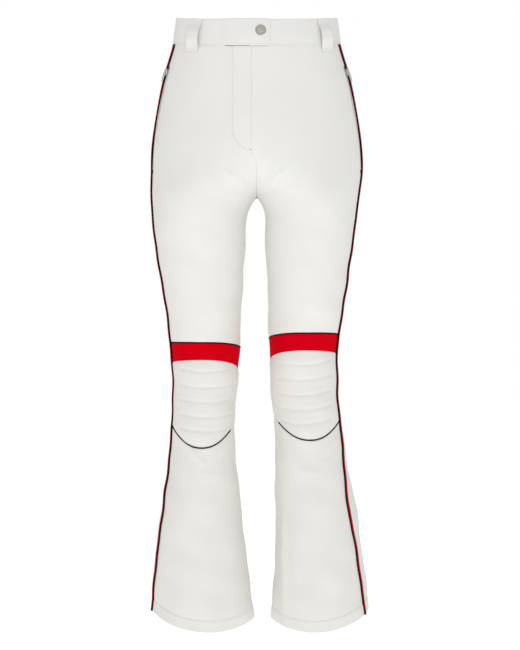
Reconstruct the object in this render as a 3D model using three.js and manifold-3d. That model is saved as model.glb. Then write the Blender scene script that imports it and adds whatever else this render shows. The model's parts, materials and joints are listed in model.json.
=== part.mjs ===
// High-waist flared ski pants, built from their cut panels, tapes, zips and snap.
// Millimetres, +Z up, the front faces -Y. Left and right are the wearer's, so the left leg is at +X.
// The origin is the centre of the waist opening, level with the top of the waistband at the sides.
import * as THREE from "three";
import { mergeVertices } from "three/addons/utils/BufferGeometryUtils.js";
import Module from "manifold-3d";

const wasm = await Module();
wasm.setup();

// Lengths down from the waist
const crotchDepth = 306;
const kneeDepth = 634;
const outseam = 1009;
const waistbandHeight = 45;
const frontDip = 20; // how far the waist drops at the centre front
const backRise = 15; // and rises at the centre back

// Girths
const waistHalfWidth = 136.5;
const hipHalfWidth = 177;

// Cloth
const fabric = 1.5;
const facingThickness = 1.1;
const seamGap = 0.3;
const stripeGap = 0.45; // between the panels and the stripe, whose rows differ
const layerGap = 0.6;
const hemGap = 1.1;
const padThickness = 6;
const padStandsProud = 3.5;

// Side stripe
const pipingWidth = 3.2;
const pipingProud = 1.2;
const tapeWidth = 3;

// Knee
const bandPiping = 2.4;
const curvePiping = 2.4;
const kneeCurveRise = 36;
const kneeCurvePower = 2.2;

// Fly and tab
const flyStitchX = -39.4;
const flyEdgeX = -8.5;
const flyStitchStraight = 200; // depth where the J stitch starts to turn
const flyStitchEnd = 236;
const flyFlapEnd = 232;
const flySeamCentred = 262; // depth where the centre seam reaches the middle
const tabEndX = 22;
const underlapEndX = -12;
const tabProud = 4;
const tabThickness = 1.6;

// Snap
const snapX = 6.4;
const capDiameter = 17.5;
const capHeight = 1.8;
const socketDiameter = 12;
const socketBore = 6.4;
const studHeadDiameter = 5.2;
const rivetDiameter = 3;
const rivetHole = 3.8;
const studBackDiameter = 10;

// Fly zip
const flyZipX = -16;
const flyZipTop = 72;
const flyZipBottom = 214;
const flyZipDepth = 6.1; // from the outer cloth to the inner side of the chain
const chainWidth = 5;
const chainThickness = 1.4;
const zipTapeThickness = 0.6;
const sliderLength = 13;
const sliderWidth = 9;
const sliderThickness = 1.5;
const pullThickness = 1;
const pullWidth = 6;
const pullLength = 22;
const shieldSpace = 1.2; // between the back of the zip tape and the shield
const shieldDepth = flyZipDepth + seamGap + zipTapeThickness + shieldSpace;
const shieldThickness = 1.2;

// Pocket zips
const pocketTop = 91;
const pocketBottom = 264;
const pocketSlot = 6;
const pocketChainMargin = 1.9; // slot left on each side of the teeth
const pocketChainWidth = pocketSlot - 2 * pocketChainMargin;
const pocketChainProud = 0.4;
const pocketSliderThickness = 2.6;
const pocketSliderWidth = 8;
const pocketSliderLength = 12;
const pocketPullLength = 21;
const pocketPullThickness = 1.3;
const pocketTapeWidth = 18;
const pocketTapeThickness = 0.8;
const bagWidth = 74;
const bagTop = 78;
const bagBottom = 284;
const bagThickness = 2;

// Belt loops
const loopWidth = 24;
const loopThickness = 1.6;
const loopSpace = 7; // room for a belt
const loopLength = 58;
const loopFoot = 9;
const loopAngles = {
  left_front_belt_loop: 38,
  right_front_belt_loop: 136,
  left_back_belt_loop: -42,
  right_back_belt_loop: -138,
  back_belt_loop: -90,
};

// Joints
const hipFoldDepth = 330;
const hemFacingHeight = 20;
const hemOuterRise = 8; // the hem is cut higher at the side stripe
const hemFrontDrop = 19;
const hemBackDrop = 25;
const hemInnerDrop = 8;

// Size chart. Columns: depth, leg centre from the middle, half width, front depth, back depth, and the
// angle of the side stripe in front of the outermost point. Above the crotch the two legs' sections
// overlap and meet in the middle.
const chartColumns = 5;
const trunkChart = [
  [-30, 0, waistHalfWidth - 3.5, 87, 90, 20],
  [0, 0, waistHalfWidth, 88, 91, 20],
  [0.163 * crotchDepth, 0, waistHalfWidth + 7.5, 92, 98, 18.5],
  [0.343 * crotchDepth, 2, hipHalfWidth - 20, 96, 109, 16],
  [0.556 * crotchDepth, 12, hipHalfWidth - 19, 101, 121, 12],
  [0.735 * crotchDepth, 32, hipHalfWidth - 32.5, 104, 129, 9],
  [0.866 * crotchDepth, 58, hipHalfWidth - 57.5, 105, 130, 10],
];
const thigh = kneeDepth - crotchDepth;
const calf = outseam - kneeDepth;
const legCharts = {
  right: [
    [crotchDepth, 89, 89, 104, 122, 11],
    [crotchDepth + 0.274 * thigh, 95, 75, 94, 100, 14.5],
    [crotchDepth + 0.534 * thigh, 90.6, 65.5, 83, 86, 18.5],
    [crotchDepth + 0.793 * thigh, 87, 58, 70, 73, 15],
    [kneeDepth, 88.5, 53, 63, 66, 14],
    [kneeDepth + 0.136 * calf, 90.6, 52.7, 62, 68, 15],
    [kneeDepth + 0.272 * calf, 91.5, 55, 64, 74, 17],
    [kneeDepth + 0.499 * calf, 94.5, 67, 71, 82, 25],
    [kneeDepth + 0.725 * calf, 95, 76.5, 78, 87, 24.5],
    [kneeDepth + 0.952 * calf, 93.6, 86, 84, 90, 19.5],
    [kneeDepth + 1.11 * calf, 92, 92, 88, 92, 18],
  ],
  left: [
    [crotchDepth, 86, 86, 104, 122, 13],
    [crotchDepth + 0.274 * thigh, 88, 74, 94, 100, 19],
    [crotchDepth + 0.534 * thigh, 84.5, 65.5, 83, 86, 22],
    [crotchDepth + 0.793 * thigh, 79, 58, 70, 73, 19.5],
    [kneeDepth, 82, 56, 63, 66, 22],
    [kneeDepth + 0.136 * calf, 86.6, 57.4, 62, 68, 24.5],
    [kneeDepth + 0.272 * calf, 90.4, 59.5, 64, 74, 29],
    [kneeDepth + 0.499 * calf, 99, 68, 71, 82, 41],
    [kneeDepth + 0.725 * calf, 105, 74, 78, 87, 35],
    [kneeDepth + 0.952 * calf, 107.4, 81.6, 84, 90, 31.5],
    [kneeDepth + 1.11 * calf, 108.5, 87, 88, 92, 30],
  ],
};

// Where the knee trims lie on each leg: depths at the centre front, and the extra drop at the outer and
// inner ends
const kneeTrims = {
  right: {
    bandTop: 553,
    topOuter: 0,
    topInner: 9,
    bandBottom: 581,
    bottomOuter: 6,
    bottomInner: 17,
    curve: 726,
  },
  left: {
    bandTop: 537,
    topOuter: 3,
    topInner: 10,
    bandBottom: 565,
    bottomOuter: 8,
    bottomInner: 17,
    curve: 713,
  },
};

// Finishes
function finish(color, roughness, metalness = 0) {
  return new THREE.MeshStandardMaterial({ color, roughness, metalness });
}

const ivory = finish(0xeeede8, 0.85);
const ivoryLining = finish(0xe6e4dd, 0.9);
const navy = finish(0x1c1d2b, 0.75);
const red = finish(0xdc001e, 0.75);
const silver = finish(0xc3bfb6, 0.35, 0.9);
const zipTape = finish(0xe9e6de, 0.8);

const garment = new THREE.Group();

function addMesh(name, geometry, material, parent = garment) {
  const mesh = new THREE.Mesh(geometry, material);
  mesh.name = name;
  if (parent === garment) garment.add(mesh);
  else parent.attach(mesh);
  return mesh;
}

// ---- the body surface ----

const sign = (leg) => (leg === "left" ? 1 : -1);
const curves = {};
for (const leg of ["left", "right"]) {
  const rows = [...trunkChart, ...legCharts[leg]];
  const depths = rows.map((row) => row[0]);
  const values = rows.flatMap((row) => row.slice(1));
  curves[leg] = new THREE.CubicInterpolant(depths, values, chartColumns);
}

function sectionAt(leg, z) {
  const [centre, halfWidth, front, back, stripe] = curves[leg].evaluate(-z);
  return { centre, halfWidth, front, back, stripe: THREE.MathUtils.degToRad(stripe) };
}

// The angle at which a section meets the middle: half a turn once the legs have parted
function middleAngle({ centre, halfWidth }) {
  return Math.acos(THREE.MathUtils.clamp(-centre / halfWidth, -1, 1));
}

// A point of the outer surface. Angle 0 is the outermost point, a quarter turn is the front. Past the
// middle of the trunk the surface carries on into its mirror image.
function pointOn(leg, angle, z) {
  const section = sectionAt(leg, z);
  const middle = middleAngle(section);
  const crossed = middle < Math.PI && Math.abs(angle) > middle;
  const own = crossed ? 2 * Math.sign(angle) * middle - angle : angle;
  const x = section.centre + section.halfWidth * Math.cos(own);
  const y = -(own > 0 ? section.front : section.back) * Math.sin(own);
  return new THREE.Vector3(sign(leg) * (crossed ? -x : x), y, z);
}

function normalOn(leg, angle, z) {
  const turn = 0.002;
  const rise = 0.5;
  const around = pointOn(leg, angle + turn, z).sub(pointOn(leg, angle - turn, z));
  const up = pointOn(leg, angle, z + rise).sub(pointOn(leg, angle, z - rise));
  const normal = around.cross(up).normalize();
  const section = sectionAt(leg, z);
  const middle = new THREE.Vector3(sign(leg) * section.centre, 0, z);
  return normal.dot(pointOn(leg, angle, z).sub(middle)) < 0 ? normal.negate() : normal;
}

// Moves an angle along the section by a length, towards the back
function shiftAngle(leg, angle, z, length) {
  const section = sectionAt(leg, z);
  const steps = 8;
  let moved = angle;
  for (let i = 0; i < steps; i++) {
    const depth = moved > 0 ? section.front : section.back;
    moved -= length / steps / Math.hypot(section.halfWidth * Math.sin(moved), depth * Math.cos(moved));
  }
  return moved;
}

const fromStripe = (leg, length) => (z) => shiftAngle(leg, sectionAt(leg, z).stripe, z, length);

// The angle of the front surface at a distance from the middle, which may lie across it
function frontAngleAt(leg, x, z) {
  const section = sectionAt(leg, z);
  const angle = Math.acos(THREE.MathUtils.clamp((Math.abs(x) - section.centre) / section.halfWidth, -1, 1));
  return x * sign(leg) < 0 ? 2 * middleAngle(section) - angle : angle;
}

// The middle seam of a panel that stops half a gap short of it
const middleEdge = (leg, side) => (z) => {
  const middle = middleAngle(sectionAt(leg, z));
  const gap = shiftAngle(leg, middle, z, seamGap / 2) - middle;
  return side * (middle + gap);
};

// ---- solids ----

// Turns a geometry's faces to point out if a mapping has turned it inside out
function facingOut(geometry) {
  const solid = geometry.index ? geometry : mergeVertices(geometry);
  const p = solid.getAttribute("position");
  const index = solid.index.array;
  const [a, b, c] = [new THREE.Vector3(), new THREE.Vector3(), new THREE.Vector3()];
  let volume = 0;
  for (let i = 0; i < index.length; i += 3) {
    a.fromBufferAttribute(p, index[i]);
    b.fromBufferAttribute(p, index[i + 1]);
    c.fromBufferAttribute(p, index[i + 2]);
    volume += a.dot(b.cross(c));
  }
  if (volume < 0) {
    for (let i = 0; i < index.length; i += 3) {
      [index[i], index[i + 1]] = [index[i + 1], index[i]];
    }
  }
  solid.deleteAttribute("uv");
  solid.deleteAttribute("normal");
  solid.computeVertexNormals();
  return solid;
}

// Moves every vertex of a geometry to where place() puts it
function remap(geometry, place) {
  const p = geometry.getAttribute("position");
  for (let i = 0; i < p.count; i++) {
    const moved = place(p.getX(i), p.getY(i), p.getZ(i));
    p.setXYZ(i, moved.x, moved.y, moved.z);
  }
  return facingOut(geometry);
}

// A cut panel: a plate bent over the body. It runs between two edges, given as angles for a height,
// through the rows that height() turns into heights, and from outside (its distance off the body)
// inwards by its thickness.
function panel({ leg, from, to, rows, height, columns = 10, outside = 0, thickness = fabric }) {
  const steps = rows.length - 1;
  const edgeAngle = (edge, row) => {
    let angle = Math.PI / 2;
    for (let i = 0; i < 5; i++) angle = edge(height(row, angle));
    return angle;
  };
  const spans = rows.map((row) => [edgeAngle(from, row), edgeAngle(to, row)]);
  return remap(new THREE.BoxGeometry(1, 1, 1, columns, 1, steps), (across, layer, up) => {
    const line = Math.round((0.5 - up) * steps);
    const angle = THREE.MathUtils.lerp(...spans[line], across + 0.5);
    const z = height(rows[line], angle);
    const distance = layer > 0 ? outside : outside - thickness;
    return pointOn(leg, angle, z).addScaledVector(normalOn(leg, angle, z), distance);
  });
}

function solidOf(geometry) {
  const bare = new THREE.BufferGeometry();
  bare.setAttribute("position", geometry.getAttribute("position").clone());
  if (geometry.index) bare.setIndex(geometry.index.clone());
  const merged = mergeVertices(bare, 1e-4);
  const mesh = new wasm.Mesh({
    numProp: 3,
    vertProperties: new Float32Array(merged.getAttribute("position").array),
    triVerts: new Uint32Array(merged.index.array),
  });
  return new wasm.Manifold(mesh);
}

function geometryOf(solid) {
  const mesh = solid.getMesh();
  const geometry = new THREE.BufferGeometry();
  geometry.setAttribute("position", new THREE.BufferAttribute(mesh.vertProperties, 3));
  geometry.setIndex(new THREE.BufferAttribute(mesh.triVerts, 1));
  geometry.computeVertexNormals();
  return geometry;
}

function joined(first, ...others) {
  return geometryOf(others.reduce((sum, one) => sum.add(solidOf(one)), solidOf(first)));
}

function cutBy(body, ...tools) {
  return geometryOf(tools.reduce((rest, one) => rest.subtract(solidOf(one)), solidOf(body)));
}

// A local frame: x across, y outwards, z up along the cloth
function frameAt(position, outward, upward) {
  const y = outward.clone().normalize();
  const x = new THREE.Vector3().crossVectors(y, upward).normalize();
  const z = new THREE.Vector3().crossVectors(x, y);
  return new THREE.Matrix4().makeBasis(x, y, z).setPosition(position);
}

function block(frame, { x, y, z }) {
  const box = new THREE.BoxGeometry(x[1] - x[0], y[1] - y[0], z[1] - z[0]);
  box.translate((x[0] + x[1]) / 2, (y[0] + y[1]) / 2, (z[0] + z[1]) / 2);
  return box.applyMatrix4(frame);
}

// A body of revolution about a frame's outward axis
function turned(frame, outline, segments = 20) {
  const points = outline.map(([radius, out]) => new THREE.Vector2(radius, out));
  return facingOut(mergeVertices(new THREE.LatheGeometry(points, segments).applyMatrix4(frame)));
}

// A group whose x axis is a hinge's axis or a slide's direction, at the joint's point
function pivot(position, axis, parent = garment) {
  const group = new THREE.Group();
  group.position.copy(position);
  group.quaternion.setFromUnitVectors(new THREE.Vector3(1, 0, 0), axis.clone().normalize());
  parent.attach(group);
  group.updateMatrixWorld(true);
  return group;
}

// ---- waist ----

const waistFade = 155; // how far below the waistband the tilt of the waist dies out

// Heights of the trunk's rows: the waist dips at the front and rises at the back
function tilted(row, angle) {
  const lean = Math.sin(angle);
  const dip = lean > 0 ? -frontDip * lean : -backRise * lean;
  const fade = THREE.MathUtils.smoothstep(row, -waistbandHeight - waistFade, -waistbandHeight);
  return row + dip * fade;
}

const bandBottom = -waistbandHeight;
const acrossFront = (leg, x) => (z) => frontAngleAt(leg, x, z);
// The angle, measured on round past the back, of a point of the front on the other side
const roundTheBack = (x) => (z) => -Math.PI - frontAngleAt("right", x, z);

const snapZ = (tilted(0, Math.PI / 2) + tilted(bandBottom, Math.PI / 2)) / 2 + 2.5;
const snapAngle = frontAngleAt("left", snapX, snapZ);
const snapFrame = frameAt(
  pointOn("left", snapAngle, snapZ),
  normalOn("left", snapAngle, snapZ),
  new THREE.Vector3(0, 0, 1),
);

function hole(diameter) {
  return new THREE.CylinderGeometry(diameter / 2, diameter / 2, 40, 16).applyMatrix4(snapFrame);
}

function buildWaistband() {
  const ring = {
    leg: "left",
    from: acrossFront("left", underlapEndX),
    to: roundTheBack(flyStitchX - seamGap / 2),
    height: tilted,
    columns: 56,
  };
  const shell = panel({ ...ring, rows: [0, bandBottom / 2, bandBottom] });
  const facing = panel({
    ...ring,
    rows: [-1, bandBottom / 2, bandBottom + 1],
    outside: -fabric - seamGap,
    thickness: facingThickness,
  });
  addMesh("waistband_shell", cutBy(shell, hole(rivetHole)), ivory);
  addMesh("waistband_facing", cutBy(facing, hole(rivetHole)), ivoryLining);
}

// A belt loop is one bent strip: a foot at each end on the cloth, and a flat middle that stands clear of it
function buildBeltLoop(name, degrees) {
  const whole = THREE.MathUtils.degToRad(degrees);
  const onLeft = Math.cos(whole) > -0.01;
  const leg = onLeft ? "left" : "right";
  const angle = onLeft ? whole : Math.sign(whole) * Math.PI - whole;
  const z = tilted(-loopLength / 2, angle);
  const low = pointOn(leg, angle, z - loopLength / 2);
  const high = pointOn(leg, angle, z + loopLength / 2);
  const frame = frameAt(low.clone().lerp(high, 0.5), normalOn(leg, angle, z), high.clone().sub(low));
  const bow = pointOn(leg, angle, z).sub(low.clone().lerp(high, 0.5)).dot(normalOn(leg, angle, z));
  const half = loopLength / 2 - 1;
  const seat = Math.max(bow, 0) + 1.5 * seamGap;
  const bend = loopSpace * 0.8;
  const proud = seat + loopSpace;
  const strip = new THREE.Shape([
    new THREE.Vector2(-half, seat),
    new THREE.Vector2(-half + loopFoot, seat),
    new THREE.Vector2(-half + loopFoot + bend, proud),
    new THREE.Vector2(half - loopFoot - bend, proud),
    new THREE.Vector2(half - loopFoot, seat),
    new THREE.Vector2(half, seat),
    new THREE.Vector2(half, seat + loopThickness),
    new THREE.Vector2(half - loopFoot + loopThickness / 2, seat + loopThickness),
    new THREE.Vector2(half - loopFoot - bend + loopThickness / 2, proud + loopThickness),
    new THREE.Vector2(-half + loopFoot + bend - loopThickness / 2, proud + loopThickness),
    new THREE.Vector2(-half + loopFoot - loopThickness / 2, seat + loopThickness),
    new THREE.Vector2(-half, seat + loopThickness),
  ]);
  const solid = new THREE.ExtrudeGeometry(strip, { depth: loopWidth, bevelEnabled: false, steps: 1 });
  solid.translate(0, 0, -loopWidth / 2);
  const geometry = remap(mergeVertices(solid), (along, out, across) =>
    new THREE.Vector3(across, out, along).applyMatrix4(frame),
  );
  addMesh(name, geometry, ivory);
}

// ---- trunk panels ----

// The line where the two fronts meet: the fly's free edge, then the centre seam
function frontSeamX(z) {
  return flyEdgeX * THREE.MathUtils.smoothstep(z, -flySeamCentred, -flyStitchEnd);
}

// The J-shaped stitch line of the fly
function stitchX(z) {
  const down = THREE.MathUtils.clamp((-z - flyStitchStraight) / (flyStitchEnd - flyStitchStraight), 0, 1);
  return flyEdgeX + (flyStitchX - flyEdgeX) * Math.sqrt(1 - down * down);
}

function frontMiddle(leg, lineX) {
  return (z) => {
    const x = lineX(z) + (sign(leg) * seamGap) / 2;
    const below = z < -flySeamCentred;
    return below ? middleEdge(leg, 1)(z) : frontAngleAt(leg, x, z);
  };
}

const trunkRows = [
  bandBottom - seamGap, -68, -pocketTop + 4, -pocketTop, -112, -135, -158, -180, -flyStitchStraight,
  -214, -224, -flyFlapEnd, -flyFlapEnd - 0.6, -248, -pocketBottom, -pocketBottom - 5, -284, -296, -303,
  -crotchDepth, -311, -319, -hipFoldDepth + seamGap / 2,
];

// The front panel's side edge steps in beside the stripe where the pocket zip lies
function pocketEdge(leg) {
  return (z) => {
    const inSlot = -z >= pocketTop - 0.1 && -z <= pocketBottom + 0.1;
    return fromStripe(leg, -stripeGap + seamGap / 2 - (inSlot ? pocketSlot : 0))(z);
  };
}

function buildTrunkPanels(leg) {
  const rightSeam = (z) => (z > -flyFlapEnd - 0.3 ? stitchX(z) : frontSeamX(z));
  addMesh(
    `${leg}_front_hip_panel`,
    panel({
      leg,
      from: frontMiddle(leg, leg === "right" ? rightSeam : frontSeamX),
      to: pocketEdge(leg),
      rows: trunkRows,
      height: tilted,
    }),
    ivory,
  );
  addMesh(
    `${leg}_back_hip_panel`,
    panel({
      leg,
      from: fromStripe(leg, pipingWidth + tapeWidth + 1.5 * seamGap + stripeGap),
      to: middleEdge(leg, -1),
      rows: trunkRows.filter((row, i) => i % 2 === 0 || row <= -crotchDepth),
      height: tilted,
    }),
    ivory,
  );
}

// ---- side stripe ----

function buildStripe(leg, segment, rows, height) {
  addMesh(
    `${leg}_${segment}_piping`,
    panel({
      leg,
      from: fromStripe(leg, seamGap / 2),
      to: fromStripe(leg, seamGap / 2 + pipingWidth),
      rows,
      height,
      columns: 1,
      outside: pipingProud,
      thickness: fabric + pipingProud,
    }),
    navy,
  );
  addMesh(
    `${leg}_${segment}_side_tape`,
    panel({
      leg,
      from: fromStripe(leg, 1.5 * seamGap + pipingWidth),
      to: fromStripe(leg, 1.5 * seamGap + pipingWidth + tapeWidth),
      rows,
      height,
      columns: 3,
    }),
    red,
  );
}

// ---- fly ----

function flyFlapAxis() {
  const ends = [tilted(0, Math.PI / 2), -flyFlapEnd].map((z) => {
    const point = pointOn("right", frontAngleAt("right", flyStitchX, z), z);
    return new THREE.Vector3(flyStitchX, point.y - 0.8, z);
  });
  return { position: ends[1], axis: ends[0].clone().sub(ends[1]).normalize() };
}

function buildFlyFlap() {
  const { position, axis } = flyFlapAxis();
  const hinge = pivot(position, axis);
  const tab = panel({
    leg: "right",
    from: acrossFront("right", tabEndX),
    to: acrossFront("right", flyStitchX + seamGap / 2),
    rows: [0, bandBottom / 2, bandBottom],
    height: tilted,
    outside: tabProud,
    thickness: tabThickness,
  });
  addMesh("waist_tab", cutBy(tab, hole(rivetHole)), ivory, hinge);
  const flapRows = trunkRows.filter((row) => row >= -flyFlapEnd);
  const flap = panel({
    leg: "right",
    from: (z) => frontAngleAt("right", frontSeamX(z) - seamGap / 2, z),
    to: (z) => frontAngleAt("right", stitchX(z) + seamGap / 2, z),
    rows: flapRows,
    height: tilted,
    columns: 4,
    thickness: fabric - seamGap,
  });
  addMesh("fly_flap", flap, ivory, hinge);
  const tabInner = tabProud - tabThickness;
  const cap = turned(snapFrame, [
    [0, tabInner - 0.2],
    [rivetDiameter / 2, tabInner - 0.2],
    [rivetDiameter / 2, tabProud + seamGap],
    [capDiameter / 2 - 0.6, tabProud + seamGap],
    [capDiameter / 2, tabProud + seamGap + 0.5],
    [capDiameter / 2 - 0.5, tabProud + capHeight - 0.4],
    [capDiameter / 2 - 2.2, tabProud + seamGap + capHeight - 0.1],
    [0, tabProud + seamGap + capHeight],
  ]);
  addMesh("snap_cap", cap, silver, hinge);
  const socket = turned(snapFrame, [
    [socketBore / 2, seamGap],
    [socketDiameter / 2 - 0.4, seamGap],
    [socketDiameter / 2, tabInner - 0.9],
    [socketDiameter / 2 - 0.4, tabInner - seamGap],
    [rivetDiameter / 2 + seamGap, tabInner - seamGap],
    [rivetDiameter / 2 + seamGap, tabInner - 0.7],
    [socketBore / 2, tabInner - 0.7],
    [socketBore / 2, seamGap],
  ]);
  addMesh("snap_socket", socket, silver, hinge);
}

function buildSnapStud() {
  const back = -fabric - 2 * seamGap - facingThickness;
  const top = tabProud - tabThickness - 1.1;
  const stud = turned(snapFrame, [
    [0, back - 1.2],
    [studBackDiameter / 2, back - 1],
    [studBackDiameter / 2, back],
    [rivetDiameter / 2, back],
    [rivetDiameter / 2, seamGap],
    [studHeadDiameter / 2 - 0.6, seamGap],
    [studHeadDiameter / 2, (seamGap + top) / 2],
    [studHeadDiameter / 2 - 0.5, top],
    [0, top],
  ]);
  addMesh("snap_stud", stud, silver);
}

// The fly zip is straight, just behind the flap
function flyZipFrame() {
  const angleAt = (z) => frontAngleAt("right", flyZipX, z);
  const top = pointOn("right", angleAt(-flyZipTop), -flyZipTop);
  const bottom = pointOn("right", angleAt(-flyZipBottom), -flyZipBottom);
  const length = top.distanceTo(bottom);
  const up = top.clone().sub(bottom).normalize();
  const outward = new THREE.Vector3(0, -1, 0);
  outward.addScaledVector(up, -outward.dot(up));
  return { frame: frameAt(top, outward, up), length };
}

function buildFlyZip() {
  const { frame, length } = flyZipFrame();
  const chainInner = -flyZipDepth;
  const chainOuter = chainInner + chainThickness;
  const tapeOuter = chainInner - seamGap;
  addMesh(
    "fly_zip_chain",
    block(frame, { x: [-chainWidth / 2, chainWidth / 2], y: [chainInner, chainOuter], z: [-length, 0] }),
    silver,
  );
  addMesh(
    "fly_zip_tape",
    block(frame, { x: [-15, 23], y: [tapeOuter - zipTapeThickness, tapeOuter], z: [-length - 4, 2] }),
    zipTape,
  );
  const up = new THREE.Vector3().setFromMatrixColumn(frame, 2);
  const carriage = pivot(new THREE.Vector3().setFromMatrixPosition(frame), up.clone().negate());
  const sliderInner = chainOuter + seamGap;
  const sliderOuter = sliderInner + sliderThickness;
  addMesh(
    "fly_zip_slider",
    block(frame, {
      x: [-sliderWidth / 2, sliderWidth / 2],
      y: [sliderInner, sliderOuter],
      z: [-sliderLength, 0],
    }),
    silver,
    carriage,
  );
  addMesh(
    "fly_zip_pull",
    block(frame, {
      x: [-pullWidth / 2, pullWidth / 2],
      y: [sliderOuter + seamGap - 0.1, sliderOuter + seamGap - 0.1 + pullThickness - 0.2],
      z: [-2 - pullLength, -2],
    }),
    silver,
    carriage,
  );
}

function buildFlyShield() {
  const shieldRows = [bandBottom - 2, -90, -120, -150, -180, -205, -225];
  const plate = panel({
    leg: "right",
    from: acrossFront("right", 17),
    to: acrossFront("right", -33),
    rows: shieldRows,
    height: tilted,
    outside: -shieldDepth - seamGap,
    thickness: shieldThickness,
  });
  // The stack of seam allowances that joins the shield and the zip tape to the left front
  const stack = panel({
    leg: "right",
    from: acrossFront("right", 17),
    to: acrossFront("right", 9.5),
    rows: shieldRows,
    height: tilted,
    columns: 2,
    outside: -fabric - 2 * seamGap,
    thickness: shieldDepth - fabric,
  });
  addMesh("fly_shield", joined(plate, stack), ivoryLining);
}

// ---- pocket zips ----

// The pocket zip bends with the hip, so its slider runs on a wide arc through three points of the seam
function pocketArc(leg) {
  const seam = fromStripe(leg, -seamGap / 2 - pocketSlot / 2);
  const ends = [pocketTop + 2, THREE.MathUtils.lerp(pocketTop, pocketBottom, 0.6), pocketBottom - 2];
  const [top, mid, bottom] = ends.map((depth) => pointOn(leg, seam(-depth), -depth));
  const triangle = new THREE.Triangle(top, mid, bottom);
  const axis = triangle.getNormal(new THREE.Vector3());
  const perpendicular = (a, b) => b.clone().sub(a).cross(axis);
  const halfway = top.clone().add(mid).multiplyScalar(0.5);
  const otherHalfway = mid.clone().add(bottom).multiplyScalar(0.5);
  const first = perpendicular(top, mid);
  const second = perpendicular(mid, bottom);
  const between = otherHalfway.clone().sub(halfway);
  const share = between.clone().cross(second).dot(axis) / first.clone().cross(second).dot(axis);
  const centre = halfway.clone().addScaledVector(first, share);
  const angle = top.clone().sub(centre).angleTo(bottom.clone().sub(centre));
  const toTop = top.clone().sub(centre);
  // The axis turns the top towards the bottom
  if (toTop.clone().cross(bottom.clone().sub(centre)).dot(axis) < 0) axis.negate();
  const outward = normalOn(leg, seam(-pocketTop - 2), -pocketTop - 2);
  const upward = toTop.clone().cross(axis).negate().normalize();
  const square = upward.dot(new THREE.Vector3(0, 0, 1)) < 0 ? upward.negate() : upward;
  outward.addScaledVector(square, -outward.dot(square)).normalize();
  return { centre, axis, angle, radius: toTop.length(), frame: frameAt(top, outward, square) };
}

// A bar that follows the arc: its section stays square to the cloth
function arcBar(arc, { x, y, from, to, steps }) {
  const length = to - from;
  return remap(new THREE.BoxGeometry(1, 1, 1, 1, 1, steps), (across, out, along) => {
    const local = new THREE.Vector3(
      THREE.MathUtils.lerp(x[0], x[1], across + 0.5),
      THREE.MathUtils.lerp(y[0], y[1], out + 0.5),
      0,
    ).applyMatrix4(arc.frame);
    const turn = (from + length * (0.5 - along)) / arc.radius;
    return local.sub(arc.centre).applyAxisAngle(arc.axis, turn).add(arc.centre);
  });
}

function buildPocketZip(leg) {
  const arc = pocketArc(leg);
  const length = arc.angle * arc.radius;
  const tapeOuter = -fabric - layerGap;
  const zRows = [-pocketTop + 5, -112, -135, -158, -180, -202, -224, -246, -pocketBottom - 5];
  const tape = panel({
    leg,
    from: fromStripe(leg, -pocketTapeWidth / 2 - pocketSlot / 2),
    to: fromStripe(leg, pocketTapeWidth / 2 - pocketSlot / 2),
    rows: zRows,
    height: (row) => row,
    columns: 4,
    outside: tapeOuter,
    thickness: pocketTapeThickness,
  });
  const half = pocketChainWidth / 2;
  const chain = arcBar(arc, {
    x: [-half, half],
    y: [tapeOuter - pocketTapeThickness / 2, pocketChainProud],
    from: 0,
    to: length,
    steps: 10,
  });
  addMesh(`${leg}_pocket_zip_strip`, joined(tape, chain), zipTape);
  const carriage = pivot(arc.centre, arc.axis);
  const sliderInner = pocketChainProud + seamGap + pipingProud;
  const sliderOuter = sliderInner + pocketSliderThickness;
  const foot = arcBar(arc, {
    x: [-half, half],
    y: [pocketChainProud + seamGap, sliderInner + 0.4],
    from: 1,
    to: 11,
    steps: 1,
  });
  const body = arcBar(arc, {
    x: [-pocketSliderWidth / 2, pocketSliderWidth / 2],
    y: [sliderInner + 0.2, sliderOuter],
    from: 0,
    to: pocketSliderLength,
    steps: 1,
  });
  addMesh(`${leg}_pocket_zip_slider`, joined(body, foot), silver, carriage);
  const hingeOut = sliderOuter + seamGap + pocketPullThickness / 2;
  const hingePoint = new THREE.Vector3(0, hingeOut, -2.5).applyMatrix4(arc.frame);
  const across = new THREE.Vector3().setFromMatrixColumn(arc.frame, 0);
  const pullHinge = pivot(hingePoint, across, carriage);
  addMesh(
    `${leg}_pocket_zip_pull`,
    block(arc.frame, {
      x: [-pullWidth / 2, pullWidth / 2],
      y: [sliderOuter + seamGap, sliderOuter + seamGap + pocketPullThickness],
      z: [-2.5 - pocketPullLength, -1.9],
    }),
    silver,
    pullHinge,
  );
}

// The bag hangs flat behind the front panel
function buildPocketBag(leg) {
  const outside = -fabric - 2 * layerGap - pocketTapeThickness - 0.4;
  addMesh(
    `${leg}_pocket_bag`,
    panel({
      leg,
      from: fromStripe(leg, -bagWidth),
      to: fromStripe(leg, 0),
      rows: [-bagTop, -110, -145, -180, -215, -250, -bagBottom],
      height: (row) => row,
      columns: 6,
      outside,
      thickness: bagThickness,
    }),
    ivoryLining,
  );
}

// ---- legs ----

// Evenly spread shares from 0 to 1
const shares = (steps) => Array.from({ length: steps + 1 }, (_, i) => i / steps);
const between = (top, bottom) => (share, angle) => THREE.MathUtils.lerp(top(angle), bottom(angle), share);

// How far round the leg an angle is from the centre front, squared, towards the outer and the inner end
function endDrop(angle, outer, inner) {
  const away = (angle - Math.PI / 2) / (Math.PI / 2);
  return away * away * (away < 0 ? outer : inner);
}

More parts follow.
